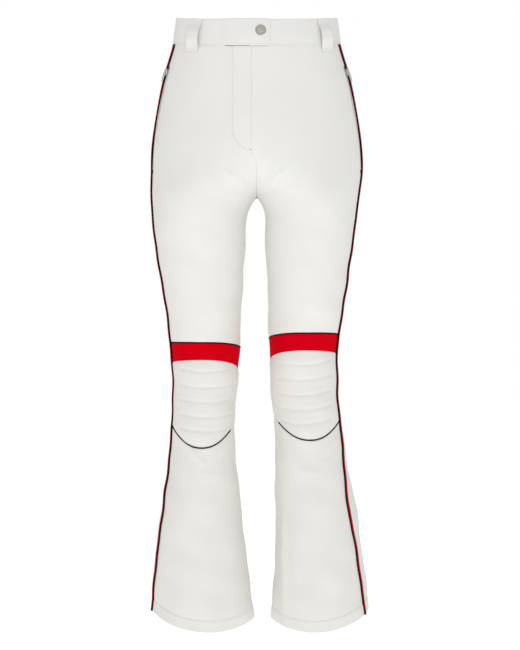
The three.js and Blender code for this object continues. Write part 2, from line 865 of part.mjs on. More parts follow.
function kneeLines(leg) {
  const trim = kneeTrims[leg];
  const low = (depth, outer, inner) => (angle) => -depth - endDrop(angle, outer, inner);
  return {
    bandTop: low(trim.bandTop, trim.topOuter, trim.topInner),
    bandBottom: low(trim.bandBottom, trim.bottomOuter, trim.bottomInner),
    curve: (angle) => -trim.curve + kneeCurveRise * Math.abs(Math.cos(angle)) ** kneeCurvePower,
  };
}

const lowered = (line, drop) => (angle) => line(angle) - drop;
const level = (depth) => () => -depth;

function hemLine(angle) {
  const drop = Math.sin(angle) > 0 ? hemFrontDrop : hemBackDrop;
  const sideways = (1 + Math.cos(angle)) / 2;
  const ends = hemOuterRise * sideways - hemInnerDrop * (1 - sideways);
  return -outseam + ends - drop * Math.sin(angle) ** 2;
}

function buildLegFront(leg) {
  const lines = kneeLines(leg);
  const edges = { leg, from: middleEdge(leg, 1), to: fromStripe(leg, -stripeGap + seamGap / 2) };
  const front = (name, top, bottom, steps, material, more = {}) => {
    const shape = { ...edges, rows: shares(steps), height: between(top, bottom), ...more };
    addMesh(`${leg}_${name}`, panel(shape), material);
  };
  const bandPipingTop = lowered(lines.bandTop, -bandPiping);
  const foldLine = level(hipFoldDepth + seamGap / 2);
  front("thigh_front_panel", foldLine, lowered(bandPipingTop, -seamGap), 11, ivory);
  front("knee_band_piping", bandPipingTop, lowered(lines.bandTop, 0), 1, navy, { outside: 1 });
  front("knee_band", lowered(lines.bandTop, seamGap), lines.bandBottom, 2, red);
  const columns = 13;
  front("knee_pad", lowered(lines.bandBottom, seamGap), lines.curve, 7, ivory, {
    columns,
    outside: padStandsProud,
    thickness: padThickness,
  });
  const pipingTop = lowered(lines.curve, stripeGap);
  const pipingBottom = lowered(lines.curve, stripeGap + curvePiping);
  front("knee_curve_piping", pipingTop, pipingBottom, 1, navy, { columns, outside: 1 });
  const calfTop = lowered(lines.curve, 2 * stripeGap + curvePiping);
  front("calf_front_panel", calfTop, hemLine, 13, ivory, { columns });
}

function buildLegBack(leg) {
  const edges = {
    leg,
    from: fromStripe(leg, pipingWidth + tapeWidth + 1.5 * seamGap + stripeGap),
    to: middleEdge(leg, -1),
  };
  const thighSpan = [level(hipFoldDepth + seamGap / 2), level(kneeDepth - seamGap / 2)];
  const calfSpan = [level(kneeDepth + seamGap / 2), hemLine];
  addMesh(
    `${leg}_thigh_back_panel`,
    panel({ ...edges, rows: shares(11), height: between(...thighSpan) }),
    ivory,
  );
  addMesh(
    `${leg}_calf_back_panel`,
    panel({ ...edges, rows: shares(14), height: between(...calfSpan), columns: 13 }),
    ivory,
  );
  buildStripe(leg, "thigh", shares(14), between(...thighSpan));
  buildStripe(leg, "calf", shares(18), between(...calfSpan));
}

function buildHemFacing(leg) {
  addMesh(
    `${leg}_hem_facing`,
    panel({
      leg,
      from: (z) => shiftAngle(leg, Math.PI, z, 0.5),
      to: (z) => shiftAngle(leg, -Math.PI, z, -0.5),
      rows: [0, 1],
      height: (share, angle) => hemLine(angle) + hemFacingHeight * (1 - share) + 0.5,
      columns: 40,
      outside: -fabric - hemGap,
      thickness: facingThickness,
    }),
    ivoryLining,
  );
}

// ---- assembly ----

buildWaistband();
for (const [name, degrees] of Object.entries(loopAngles)) buildBeltLoop(name, degrees);
for (const leg of ["left", "right"]) {
  buildTrunkPanels(leg);
  buildStripe(leg, "hip", trunkRows.filter((row, i) => i % 2 === 0), tilted);
  buildPocketZip(leg);
  buildPocketBag(leg);
  buildLegFront(leg);
  buildLegBack(leg);
  buildHemFacing(leg);
}
buildFlyFlap();
buildSnapStud();
buildFlyZip();
buildFlyShield();

export default garment;
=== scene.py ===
import json
import math

import bmesh
import bpy
import numpy as np
from mathutils import Matrix, Vector

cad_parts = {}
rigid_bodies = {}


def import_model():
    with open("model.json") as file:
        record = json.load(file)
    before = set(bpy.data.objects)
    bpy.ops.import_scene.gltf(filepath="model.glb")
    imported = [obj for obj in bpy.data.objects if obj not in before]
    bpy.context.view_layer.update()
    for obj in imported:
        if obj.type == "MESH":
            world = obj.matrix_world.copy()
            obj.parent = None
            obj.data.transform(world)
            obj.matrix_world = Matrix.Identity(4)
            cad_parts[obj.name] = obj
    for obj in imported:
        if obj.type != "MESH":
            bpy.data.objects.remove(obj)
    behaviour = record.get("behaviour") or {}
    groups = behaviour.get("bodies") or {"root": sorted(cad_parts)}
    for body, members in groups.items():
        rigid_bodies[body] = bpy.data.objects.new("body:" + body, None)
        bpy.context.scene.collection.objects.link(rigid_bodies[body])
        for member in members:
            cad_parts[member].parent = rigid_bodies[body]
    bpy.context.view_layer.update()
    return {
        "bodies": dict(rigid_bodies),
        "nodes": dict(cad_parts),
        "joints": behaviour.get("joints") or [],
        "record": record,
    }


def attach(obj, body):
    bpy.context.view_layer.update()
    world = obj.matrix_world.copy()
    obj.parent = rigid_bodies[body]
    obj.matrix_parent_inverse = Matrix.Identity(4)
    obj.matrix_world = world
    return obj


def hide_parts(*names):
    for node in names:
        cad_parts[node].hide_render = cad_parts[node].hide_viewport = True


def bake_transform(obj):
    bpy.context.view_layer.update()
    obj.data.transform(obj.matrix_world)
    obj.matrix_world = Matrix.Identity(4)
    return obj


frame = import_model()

pi = math.pi
mm = 0.001

# The cloth surface: every panel is bent over it. Lengths are in millimetres unless a note says otherwise

waist = {"band": 45, "frontDip": 20, "backRise": 15, "fade": 155, "halfWidth": 136.5, "hipHalfWidth": 177}
legs = {"crotch": 306, "knee": 634, "outseam": 1009, "side": {"left": 1, "right": -1}}
hem = {"front": 19, "back": 25, "inner": 8, "outer": 8, "stitch": 19}

# Columns: depth, centre, half width, front depth, back depth, angle of the side stripe
trunkChart = [
    (-30, 0, waist["halfWidth"] - 3.5, 87, 90, 20),
    (0, 0, waist["halfWidth"], 88, 91, 20),
    (0.163 * legs["crotch"], 0, waist["halfWidth"] + 7.5, 92, 98, 18.5),
    (0.343 * legs["crotch"], 2, waist["hipHalfWidth"] - 20, 96, 109, 16),
    (0.556 * legs["crotch"], 12, waist["hipHalfWidth"] - 19, 101, 121, 12),
    (0.735 * legs["crotch"], 32, waist["hipHalfWidth"] - 32.5, 104, 129, 9),
    (0.866 * legs["crotch"], 58, waist["hipHalfWidth"] - 57.5, 105, 130, 10),
]
thighShares = [0, 0.274, 0.534, 0.793]
calfShares = [0, 0.136, 0.272, 0.499, 0.725, 0.952, 1.11]
legColumns = {
    "right": [
        (89, 89, 104, 122, 11), (95, 75, 94, 100, 14.5), (90.6, 65.5, 83, 86, 18.5), (87, 58, 70, 73, 15),
        (88.5, 53, 63, 66, 14), (90.6, 52.7, 62, 68, 15), (91.5, 55, 64, 74, 17), (94.5, 67, 71, 82, 25),
        (95, 76.5, 78, 87, 24.5), (93.6, 86, 84, 90, 19.5), (92, 92, 88, 92, 18),
    ],
    "left": [
        (86, 86, 104, 122, 13), (88, 74, 94, 100, 19), (84.5, 65.5, 83, 86, 22), (79, 58, 70, 73, 19.5),
        (82, 56, 63, 66, 22), (86.6, 57.4, 62, 68, 24.5), (90.4, 59.5, 64, 74, 29), (99, 68, 71, 82, 41),
        (105, 74, 78, 87, 35), (107.4, 81.6, 84, 90, 31.5), (108.5, 87, 88, 92, 30),
    ],
}


def legChart(leg):
    depths = [legs["crotch"] + s * (legs["knee"] - legs["crotch"]) for s in thighShares]
    depths += [legs["knee"] + s * (legs["outseam"] - legs["knee"]) for s in calfShares]
    rows = trunkChart + [(d, *c) for d, c in zip(depths, legColumns[leg])]
    table = np.array(rows, float)
    return table[:, 0], table[:, 1:]


charts = {leg: legChart(leg) for leg in ("left", "right")}


def smooth(value, low, high):
    t = np.clip((np.asarray(value, float) - low) / (high - low), 0, 1)
    return t * t * (3 - 2 * t)


# A smooth curve through the chart's rows, the same one the cut panels were drawn with
def sectionAt(leg, z):
    depths, values = charts[leg]
    last = len(depths) - 1
    t = np.clip(-np.asarray(z, float), depths[0], depths[-1])
    i1 = np.clip(np.searchsorted(depths, t, side="right"), 1, last)
    i0 = i1 - 1
    t0, t1 = depths[i0], depths[i1]
    atStart, atEnd = i0 == 0, i1 == last
    before = np.where(atStart, i1, i0 - 1)
    after = np.where(atEnd, i0, np.minimum(i1 + 1, last))
    tBefore = np.where(atStart, t1, depths[before])
    tAfter = np.where(atEnd, t0, depths[after])
    wBefore = 0.5 * (t1 - t0) / (t0 - tBefore)
    wAfter = 0.5 * (t1 - t0) / (tAfter - t1)
    p = (t - t0) / (t1 - t0)
    pp, ppp = p * p, p * p * p
    sBefore = -wBefore * ppp + 2 * wBefore * pp - wBefore * p
    s0 = (1 + wBefore) * ppp + (-1.5 - 2 * wBefore) * pp + (-0.5 + wBefore) * p + 1
    s1 = (-1 - wAfter) * ppp + (1.5 + wAfter) * pp + 0.5 * p
    sAfter = wAfter * ppp - wAfter * pp
    mix = [s[..., None] * values[i] for s, i in ((sBefore, before), (s0, i0), (s1, i1), (sAfter, after))]
    out = sum(mix)
    return out[..., 0], out[..., 1], out[..., 2], out[..., 3], np.radians(out[..., 4])


def middleAngle(leg, z):
    centre, halfWidth, *_ = sectionAt(leg, z)
    return np.arccos(np.clip(-centre / halfWidth, -1, 1))


# Angle 0 is the outermost point of a leg and a quarter turn is its front
def pointOn(leg, angle, z):
    angle, z = np.broadcast_arrays(np.asarray(angle, float), np.asarray(z, float))
    centre, halfWidth, front, back, _ = sectionAt(leg, z)
    middle = np.arccos(np.clip(-centre / halfWidth, -1, 1))
    crossed = (middle < pi) & (np.abs(angle) > middle)
    own = np.where(crossed, 2 * np.sign(angle) * middle - angle, angle)
    x = centre + halfWidth * np.cos(own)
    y = -np.where(own > 0, front, back) * np.sin(own)
    return np.stack([legs["side"][leg] * np.where(crossed, -x, x), y, z], -1)


def normalOn(leg, angle, z):
    turn, rise = 0.002, 0.5
    angle, z = np.broadcast_arrays(np.asarray(angle, float), np.asarray(z, float))
    around = pointOn(leg, angle + turn, z) - pointOn(leg, angle - turn, z)
    up = pointOn(leg, angle, z + rise) - pointOn(leg, angle, z - rise)
    normal = np.cross(around, up)
    normal /= np.linalg.norm(normal, axis=-1, keepdims=True)
    middle = np.stack([legs["side"][leg] * sectionAt(leg, z)[0], np.zeros_like(z), z], -1)
    facing = np.sum(normal * (pointOn(leg, angle, z) - middle), -1)
    return normal * np.where(facing < 0, -1, 1)[..., None]


def shiftAngle(leg, angle, z, length):
    _, halfWidth, front, back, _ = sectionAt(leg, z)
    moved = np.asarray(angle, float)
    steps = 8
    for _ in range(steps):
        depth = np.where(moved > 0, front, back)
        moved = moved - length / steps / np.hypot(halfWidth * np.sin(moved), depth * np.cos(moved))
    return moved


def fromStripe(leg, length):
    return lambda z: shiftAngle(leg, sectionAt(leg, z)[4], z, length)


def frontAngleAt(leg, x, z):
    centre, halfWidth, *_ = sectionAt(leg, z)
    angle = np.arccos(np.clip((np.abs(x) - centre) / halfWidth, -1, 1))
    return np.where(np.asarray(x) * legs["side"][leg] < 0, 2 * middleAngle(leg, z) - angle, angle)


def tilted(row, angle):
    lean = np.sin(angle)
    dip = np.where(lean > 0, -waist["frontDip"] * lean, -waist["backRise"] * lean)
    return row + dip * smooth(row, -waist["band"] - waist["fade"], -waist["band"])


# Lines drawn on the cloth

seamRoll = {"depth": 0.2, "width": 0.9, "soft": 0.16}  # how far a panel's edge turns in at a seam
stripe = {
    "piping": 3.2, "cordFrom": -0.8, "cordWidth": 5.5, "cordProud": 3.4, "tape": 3, "gap": 0.12, "seam": 0.06,
}
fly = {"stitchX": -39.4, "edgeX": -8.5, "straight": 200, "stitchEnd": 236, "centred": 262}
pocket = {"top": 91, "bottom": 264, "slot": 6, "easeTop": 4, "easeBottom": 5}
kneeTrims = {
    "right": {"bandTop": (553, 0, 9), "bandBottom": (581, 6, 17), "curve": 726},
    "left": {"bandTop": (537, 3, 10), "bandBottom": (565, 8, 17), "curve": 713},
}
kneeCurve = {"rise": 36, "power": 2.2, "piping": 2.0, "endAngle": math.acos(-0.885)}
backSplit = -480  # where the upper and lower back panels are sewn end to end


def frontSeamX(z):
    return fly["edgeX"] * smooth(z, -fly["centred"], -fly["stitchEnd"])


def stitchX(z):
    down = np.clip((-z - fly["straight"]) / (fly["stitchEnd"] - fly["straight"]), 0, 1)
    return fly["edgeX"] + (fly["stitchX"] - fly["edgeX"]) * np.sqrt(1 - down * down)


def frontLine(leg, lineX):
    offset = legs["side"][leg] * stripe["seam"] / 2

    def edge(z):
        atFly = frontAngleAt(leg, lineX(z) + offset, z)
        return np.where(z < -fly["centred"], middleEdge(leg, 1)(z), atFly)
    return edge


def middleEdge(leg, side):
    def edge(z):
        middle = middleAngle(leg, z)
        return side * shiftAngle(leg, middle, z, stripe["seam"] / 2)
    return edge


def acrossFront(leg, x):
    return lambda z: frontAngleAt(leg, x, z)


def roundTheBack(x):
    return lambda z: -pi - frontAngleAt("right", x, z)


# The front panel steps in beside the stripe to leave the pocket zip its slot
def frontSideEdge(leg):
    def edge(z):
        opened = smooth(-z, pocket["top"] - pocket["easeTop"], pocket["top"])
        inSlot = opened * (1 - smooth(-z, pocket["bottom"], pocket["bottom"] + pocket["easeBottom"]))
        return fromStripe(leg, -stripe["gap"] + stripe["seam"] / 2 - pocket["slot"] * inSlot)(z)
    return edge


def backSideEdge(leg, inset=0.0):
    return fromStripe(leg, stripe["piping"] + stripe["tape"] + 1.5 * stripe["seam"] + stripe["gap"] + inset)


def dropLine(depth, outer, inner):
    def line(angle):
        away = (angle - pi / 2) / (pi / 2)
        return -depth - away * away * np.where(away < 0, outer, inner)
    return line


def curveLine(leg, drop=0.0):
    top = kneeTrims[leg]["curve"]
    return lambda angle: -top + kneeCurve["rise"] * np.abs(np.cos(angle)) ** kneeCurve["power"] - drop


def hemLine(angle):
    drop = np.where(np.sin(angle) > 0, hem["front"], hem["back"])
    sideways = (1 + np.cos(angle)) / 2
    level = -legs["outseam"] + hem["outer"] * sideways - hem["inner"] * (1 - sideways)
    return level - drop * np.sin(angle) ** 2


def lowered(line, drop):
    return lambda angle: line(angle) - drop


def atRow(row):
    return lambda angle: tilted(row, angle)


def level(z):
    return lambda angle: z + 0 * angle


# How the cloth hangs: soft ridges (x and z of both ends, width, height) and slow swells

frontRidges = [
    (44, -800, 47, -1026, 6, 2.6), (58, -850, 66, -1020, 14, 0.9), (120, -880, 132, -1026, 16, 1.2),
    (84, -930, 86, -1030, 13, 0.9), (-44, -860, -40, -1028, 9, 1.0), (-78, -905, -76, -1030, 15, 1.0),
    (-118, -870, -126, -1026, 15, 1.2), (-126, -708, -98, -741, 4, 1.1), (-118, -728, -84, -756, 5, 1.0),
    (-96, -768, -62, -774, 6, 0.8), (-62, -751, -48, -716, 4, 0.8), (38, -716, 58, -744, 4, 1.3),
    (40, -738, 66, -758, 5, 1.1), (64, -765, 104, -768, 6, 0.8), (112, -744, 134, -708, 5, 1.2),
    (104, -762, 138, -728, 6, 0.9), (-12, -296, -52, -272, 5, 1.1), (-16, -312, -66, -304, 6, 0.9),
    (12, -292, 50, -268, 5, 1.1), (16, -310, 62, -300, 6, 0.9), (-96, -498, -70, -530, 9, 0.8),
    (70, -486, 108, -500, 10, 0.8), (-34, -70, -33, -196, 4.5, 0.5), (-18, -84, -17, -200, 4, 0.45),
    (-130, -330, -96, -392, 14, 0.7), (130, -330, 100, -396, 14, 0.7),
]
backRidges = [
    (-40, -300, -120, -322, 9, 1.6), (-34, -318, -112, -350, 9, 1.3), (40, -300, 120, -322, 9, 1.6),
    (34, -318, 112, -350, 9, 1.3), (-130, -640, -60, -650, 7, 1.7), (-124, -622, -66, -618, 6, 1.3),
    (-126, -664, -64, -676, 8, 1.5), (130, -636, 60, -646, 7, 1.7), (124, -618, 66, -614, 6, 1.3),
    (126, -660, 64, -672, 8, 1.5), (-60, -850, -52, -1030, 12, 1.5), (-112, -830, -120, -1030, 13, 1.6),
    (66, -850, 60, -1030, 12, 1.5), (120, -830, 132, -1030, 13, 1.6),
]
# waves per metre across and down, and the phase
swells = [(47, 33, 0.4), (29, -21, 1.9), (15, 52, 4.4), (-38, 17, 3.1)]


def ridgeHeight(ridges, x, z):
    height = np.zeros_like(x)
    for x0, z0, x1, z1, width, rise in ridges:
        dx, dz = x1 - x0, z1 - z0
        along = ((x - x0) * dx + (z - z0) * dz) / (dx * dx + dz * dz)
        near = np.clip(along, 0, 1)
        away = np.hypot(x - x0 - near * dx, z - z0 - near * dz)
        taper = smooth(near, 0, 0.35) * (1 - 0.6 * smooth(near, 0.75, 1))
        height += rise * taper * np.exp(-(away / width) ** 2)
    return height


def hang(angle, place):
    x, z = place[..., 0], place[..., 2]
    lean = np.sin(angle)
    slow = sum(np.sin(mm * 2 * pi * (a * x * 0.35 + b * z * 0.35) + phase) for a, b, phase in swells)
    lower = smooth(-z, 280, 460)
    height = slow * (0.1 + 0.3 * lower)
    height += ridgeHeight(frontRidges, x, z) * smooth(lean, 0.05, 0.5) * 1.5
    height += ridgeHeight(backRidges, x, z) * smooth(-lean, 0.05, 0.5)
    quiet = smooth(-z, 60, 110) * (1 - 0.85 * smooth(np.abs(x), 118, 132) * (1 - smooth(-z, 262, 290)))
    return height * quiet


def onCloth(leg, angle, z, out):
    place = pointOn(leg, angle, z)
    angle = np.broadcast_to(angle, place.shape[:-1])
    return place + normalOn(leg, angle, z) * (out + hang(angle, place))[..., None]


# Finishes: base colour, range of roughness, thread spacing and depth of the weave, sheen

looks = {
    "ivory": {"color": (0.845, 0.838, 0.805), "roughness": (0.74, 0.86),
        "weave": 0.7, "depth": 0.1, "sheen": 0.06},
    "quilt": {"color": (0.815, 0.806, 0.765), "roughness": (0.7, 0.82),
        "weave": 0.5, "depth": 0.07, "sheen": 0.06},
    "calf": {"color": (0.832, 0.820, 0.782), "roughness": (0.74, 0.86),
        "weave": 0.7, "depth": 0.1, "sheen": 0.06},
    "lining": {"color": (0.76, 0.745, 0.70), "roughness": (0.8, 0.92),
        "weave": 1.1, "depth": 0.12, "sheen": 0.05},
    "red": {"color": (0.66, 0.0, 0.008), "roughness": (0.76, 0.88),
        "weave": 0.6, "depth": 0.1, "sheen": 0.0},
    "zipTape": {"color": (0.80, 0.785, 0.74), "roughness": (0.78, 0.9),
        "weave": 0.45, "depth": 0.1, "sheen": 0.05},
    "thread": {"color": (0.80, 0.785, 0.745), "roughness": (0.6, 0.75),
        "weave": 0.25, "depth": 0.05, "sheen": 0.1},
}
made = {}


def addNode(tree, kind, inputs=None, **settings):
    node = tree.nodes.new(kind)
    for key, value in settings.items():
        setattr(node, key, value)
    for key, value in (inputs or {}).items():
        if isinstance(value, bpy.types.NodeSocket):
            tree.links.new(value, node.inputs[key])
        else:
            node.inputs[key].default_value = value
    return node


def startMaterial(name, sheen=0.0, metallic=0.0, specular=0.1):
    material = bpy.data.materials.new(name)
    material.use_nodes = True
    shader = material.node_tree.nodes["Principled BSDF"]
    shader.inputs["Sheen Weight"].default_value = sheen
    shader.inputs["Sheen Roughness"].default_value = 0.5
    shader.inputs["Metallic"].default_value = metallic
    shader.inputs["Specular IOR Level"].default_value = 0.5 if metallic else specular
    made[name] = material
    return material.node_tree, shader


def bandsOf(tree, vector, pitch, direction, detail=0.0):
    values = {"Vector": vector, "Scale": pi / (10 * pitch * mm), "Distortion": detail}
    return addNode(tree, "ShaderNodeTexWave", values, bands_direction=direction).outputs["Fac"]


def mathOf(tree, operation, a, b):
    return addNode(tree, "ShaderNodeMath", {0: a, 1: b}, operation=operation).outputs[0]


def noiseOf(tree, vector, scale, detail=3.0):
    return addNode(
        tree, "ShaderNodeTexNoise", {"Vector": vector, "Scale": scale, "Detail": detail},
    ).outputs["Fac"]


def rangeOf(tree, value, low, high):
    inputs = {"Value": value, "From Min": 0.3, "From Max": 0.7, "To Min": low, "To Max": high}
    return addNode(tree, "ShaderNodeMapRange", inputs).outputs["Result"]


def bumpOn(tree, shader, height, strength, depth):
    bump = addNode(tree, "ShaderNodeBump", {"Height": height, "Strength": strength, "Distance": depth * mm})
    tree.links.new(bump.outputs["Normal"], shader.inputs["Normal"])


def toneOf(tree, value, color, darker, lighter):
    ramp = addNode(tree, "ShaderNodeValToRGB", {"Fac": value})
    ramp.color_ramp.elements[0].position, ramp.color_ramp.elements[1].position = 0.3, 0.7
    ramp.color_ramp.elements[0].color = (*[c * darker for c in color], 1)
    ramp.color_ramp.elements[1].color = (*[min(c * lighter, 1) for c in color], 1)
    return ramp.outputs["Color"]


def clothMaterial(name):
    look = looks[name]
    tree, shader = startMaterial(name, sheen=look["sheen"], specular=0.02 if name == "red" else 0.1)
    coords = addNode(tree, "ShaderNodeTexCoord")
    uv, place = coords.outputs["UV"], coords.outputs["Object"]
    warp = bandsOf(tree, uv, look["weave"], "X")
    weft = bandsOf(tree, uv, look["weave"] * 1.15, "Y")
    weave = mathOf(tree, "MULTIPLY", warp, weft)
    slub = noiseOf(tree, place, 900, 2)
    rough = mathOf(tree, "ADD", weave, mathOf(tree, "MULTIPLY", slub, 0.6))
    bumpOn(tree, shader, rough, 0.35, look["depth"])
    blotch = noiseOf(tree, place, 14)
    tree.links.new(toneOf(tree, blotch, look["color"], 0.985, 1.012), shader.inputs["Base Color"])
    tree.links.new(rangeOf(tree, noiseOf(tree, place, 60), *look["roughness"]), shader.inputs["Roughness"])


def pipingMaterial():
    tree, shader = startMaterial("piping")
    coords = addNode(tree, "ShaderNodeTexCoord")
    twist = bandsOf(tree, coords.outputs["UV"], 1.6, "DIAGONAL")
    fuzz = noiseOf(tree, coords.outputs["Object"], 700, 2)
    height = mathOf(tree, "ADD", twist, mathOf(tree, "MULTIPLY", fuzz, 0.5))
    bumpOn(tree, shader, height, 0.5, 0.2)
    tree.links.new(toneOf(tree, twist, (0.0058, 0.0036, 0.0066), 0.7, 1.35), shader.inputs["Base Color"])
    tree.links.new(rangeOf(tree, fuzz, 0.66, 0.8), shader.inputs["Roughness"])


# The side cord is navy towards the front and red where it meets the tape
def sideCordMaterial():
    tree, shader = startMaterial("sideCord")
    coords = addNode(tree, "ShaderNodeTexCoord")
    uv = coords.outputs["UV"]
    twist = bandsOf(tree, uv, 1.3, "DIAGONAL")
    fuzz = noiseOf(tree, coords.outputs["Object"], 700, 2)
    height = mathOf(tree, "ADD", twist, mathOf(tree, "MULTIPLY", fuzz, 0.5))
    bumpOn(tree, shader, height, 0.5, 0.2)
    across = addNode(tree, "ShaderNodeSeparateXYZ", {"Vector": uv}).outputs["X"]
    share = mathOf(tree, "MULTIPLY", across, 1 / (stripe["cordWidth"] * mm))
    ramp = addNode(tree, "ShaderNodeValToRGB", {"Fac": share})
    navy, red = ramp.color_ramp.elements
    navy.position, navy.color = 0.15, (0.0045, 0.0022, 0.0045, 1)
    red.position, red.color = 0.21, (0.42, 0.0, 0.012, 1)
    tree.links.new(ramp.outputs["Color"], shader.inputs["Base Color"])
    tree.links.new(rangeOf(tree, fuzz, 0.66, 0.8), shader.inputs["Roughness"])


def tapeMaterial():
    tree, shader = startMaterial("sideTape", sheen=0.1)
    coords = addNode(tree, "ShaderNodeTexCoord")
    uv = coords.outputs["UV"]
    ribs = bandsOf(tree, uv, 1.4, "Y")
    yarn = bandsOf(tree, uv, 0.5, "X")
    height = mathOf(tree, "ADD", ribs, mathOf(tree, "MULTIPLY", yarn, 0.4))
    bumpOn(tree, shader, height, 0.5, 0.18)
    tree.links.new(toneOf(tree, ribs, (0.56, 0.0012, 0.017), 0.86, 1.1), shader.inputs["Base Color"])
    tree.links.new(
        rangeOf(tree, noiseOf(tree, coords.outputs["Object"], 300), 0.7, 0.82), shader.inputs["Roughness"],
    )


def metalMaterial(name, color):
    tree, shader = startMaterial(name, metallic=1.0)
    place = addNode(tree, "ShaderNodeTexCoord").outputs["Object"]
    stretched = addNode(tree, "ShaderNodeMapping", {"Vector": place, "Scale": (6, 1, 1)}).outputs["Vector"]
    lines = noiseOf(tree, stretched, 900, 4)
    tree.links.new(toneOf(tree, lines, color, 0.88, 1.08), shader.inputs["Base Color"])
    tree.links.new(rangeOf(tree, lines, 0.26, 0.42), shader.inputs["Roughness"])
    bumpOn(tree, shader, lines, 0.12, 0.05)


for clothName in looks:
    clothMaterial(clothName)
pipingMaterial()
sideCordMaterial()
tapeMaterial()
metalMaterial("satinNickel", (0.38, 0.362, 0.335))
metalMaterial("brightNickel", (0.66, 0.645, 0.61))
print("finishes ready:", ", ".join(made))

# The flat sizes of the cut panels, and a helper that adds a piece with its finishes

flatSizes = {}


def addObject(name, mesh, materials):
    piece = bpy.data.objects.new(name, mesh)
    bpy.context.scene.collection.objects.link(piece)
    for key in materials:
        mesh.materials.append(made[key])
    mesh.shade_smooth()
    return piece


# Shares of a length, closer together towards both ends
def spread(length, step):
    near = [d for d in (0, 0.4, 1.0, 1.8, 3.0, 5.0, 8.0) if d < 0.4 * length]
    count = max(1, round((length - 2 * near[-1]) / step))
    middle = np.linspace(near[-1], length - near[-1], count + 1)
    return np.concatenate([near[:-1], middle, length - np.array(near[:-1])[::-1]]) / length


def arcLengths(places, axis):
    steps = np.linalg.norm(np.diff(places, axis=axis), axis=-1)
    pad = [(0, 0), (0, 0)]
    pad[axis] = (1, 0)
    return np.pad(np.cumsum(steps, axis=axis), pad)


# A grid whose vertices are put at given places; the texture follows the cloth in metres
def gridMesh(name, places, uv, outward):
    down, across = places.shape[:2]
    bm = bmesh.new()
    bmesh.ops.create_grid(bm, x_segments=across - 1, y_segments=down - 1, size=0.5)
    mesh = bpy.data.meshes.new(name)
    bm.to_mesh(mesh)
    bm.free()
    co = np.empty(len(mesh.vertices) * 3)
    mesh.vertices.foreach_get("co", co)
    co = co.reshape(-1, 3)
    column = np.rint((co[:, 0] + 0.5) * (across - 1)).astype(int)
    row = np.rint((0.5 - co[:, 1]) * (down - 1)).astype(int)
    mesh.vertices.foreach_set("co", (places[row, column] * mm).ravel())
    corners = np.empty(len(mesh.loops), int)
    mesh.loops.foreach_get("vertex_index", corners)
    layer = mesh.uv_layers.new(name="cloth")
    layer.data.foreach_set("uv", (uv[row[corners], column[corners]] * mm).ravel())
    mesh.update()
    face = mesh.polygons[len(mesh.polygons) // 2]
    corner = face.vertices[0]
    if face.normal.dot(Vector(outward[row[corner], column[corner]])) < 0:
        mesh.flip_normals()
    return mesh


def sharpEnds(mesh, places, ends):
    down, across = places.shape[:2]
    keys = {tuple(np.round(p * mm, 7)) for end in ends for p in places[0 if end == "T" else down - 1]}
    marks = mesh.attributes.new("sharp_edge", "BOOLEAN", "EDGE")
    for edge in mesh.edges:
        a, b = (tuple(np.round(np.array(mesh.vertices[i].co), 7)) for i in edge.vertices)
        marks.data[edge.index].value = a in keys and b in keys


def bentPanel(
    name, leg, edges, top, bottom, materials=("ivory", "lining"), step=3.0, out=0.0, thick=1.5, roll="LRTB",
    rollDepth=seamRoll["depth"], rollWidth=seamRoll["width"], relief=None, rows=(), localUv=False,
    held="hung", rests="waistband_shell", sheet=True,
):
    start, end = edges

    def edgeAngles(edge, v):
        angle = np.full_like(v, pi / 2)
        for _ in range(6):
            angle = edge(top(angle) * (1 - v) + bottom(angle) * v)
        return angle

    middle = np.array([0.5])
    a0, a1 = edgeAngles(start, middle)[0], edgeAngles(end, middle)[0]
    sweep = np.linspace(a0, a1, 40)
    midRow = pointOn(leg, sweep, 0.5 * (top(sweep) + bottom(sweep)))
    width = np.linalg.norm(np.diff(midRow, axis=0), axis=1).sum()
    aMid = np.full(2, 0.5 * (a0 + a1))
    length = abs(float(top(aMid)[0] - bottom(aMid)[0]))
    u = spread(width, step)
    v = spread(length, step)
    zTop, zBottom = float(top(aMid)[0]), float(bottom(aMid)[0])
    extra = [(zTop - z) / (zTop - zBottom) for z in rows]
    v = np.unique(np.round(np.concatenate([v, [e for e in extra if 0.001 < e < 0.999]]), 6))
    first, last = edgeAngles(start, v), edgeAngles(end, v)
    angle = first[:, None] + (last - first)[:, None] * u[None, :]
    z = top(angle) * (1 - v[:, None]) + bottom(angle) * v[:, None]
    flatPlaces = pointOn(leg, angle, z)
    acrossLength, downLength = arcLengths(flatPlaces, 1), arcLengths(flatPlaces, 0)
    away = {
        "L": acrossLength, "R": acrossLength[:, -1:] - acrossLength,
        "T": downLength, "B": downLength[-1:] - downLength,
    }
    proud = np.full_like(z, out)
    if relief is not None:
        proud = proud + relief(angle, z, flatPlaces, away)
    for side in roll:
        proud = proud - rollDepth * np.exp(-(away[side] / rollWidth) ** 2)
    normal = normalOn(leg, angle, z)
    places = flatPlaces + normal * (proud + hang(angle, flatPlaces))[..., None]
    if localUv:
        uv = np.stack([acrossLength, -z], -1)
    else:
        offset = (pi / 2 - first)[:, None] * 80
        uv = np.stack([acrossLength + offset, -z], -1)
    mesh = gridMesh(name, places, uv, normal)
    raw = [e for e in "TB" if e not in roll]
    if raw:
        sharpEnds(mesh, places, raw)
    piece = addObject(name, mesh, materials)
    if thick:
        wall = piece.modifiers.new("wall", "SOLIDIFY")
        wall.thickness, wall.offset = thick * mm, -1
        wall.material_offset = 1 if len(materials) > 1 else 0
    if sheet:
        wide, long = acrossLength[:, -1].max(), downLength[-1].max()
        corner = places[:-1, :-1]
        cells = np.linalg.norm(np.cross(places[1:, :-1] - corner, places[:-1, 1:] - corner), axis=-1)
        area = min(cells.sum() * mm * mm, wide * long * mm * mm)
        flat = (round(wide * mm, 4), round(long * mm, 4))
        flatSizes[name] = (*flat, round(area, 5))
    return piece


def bendHip(piece, leg):
    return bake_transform(piece)


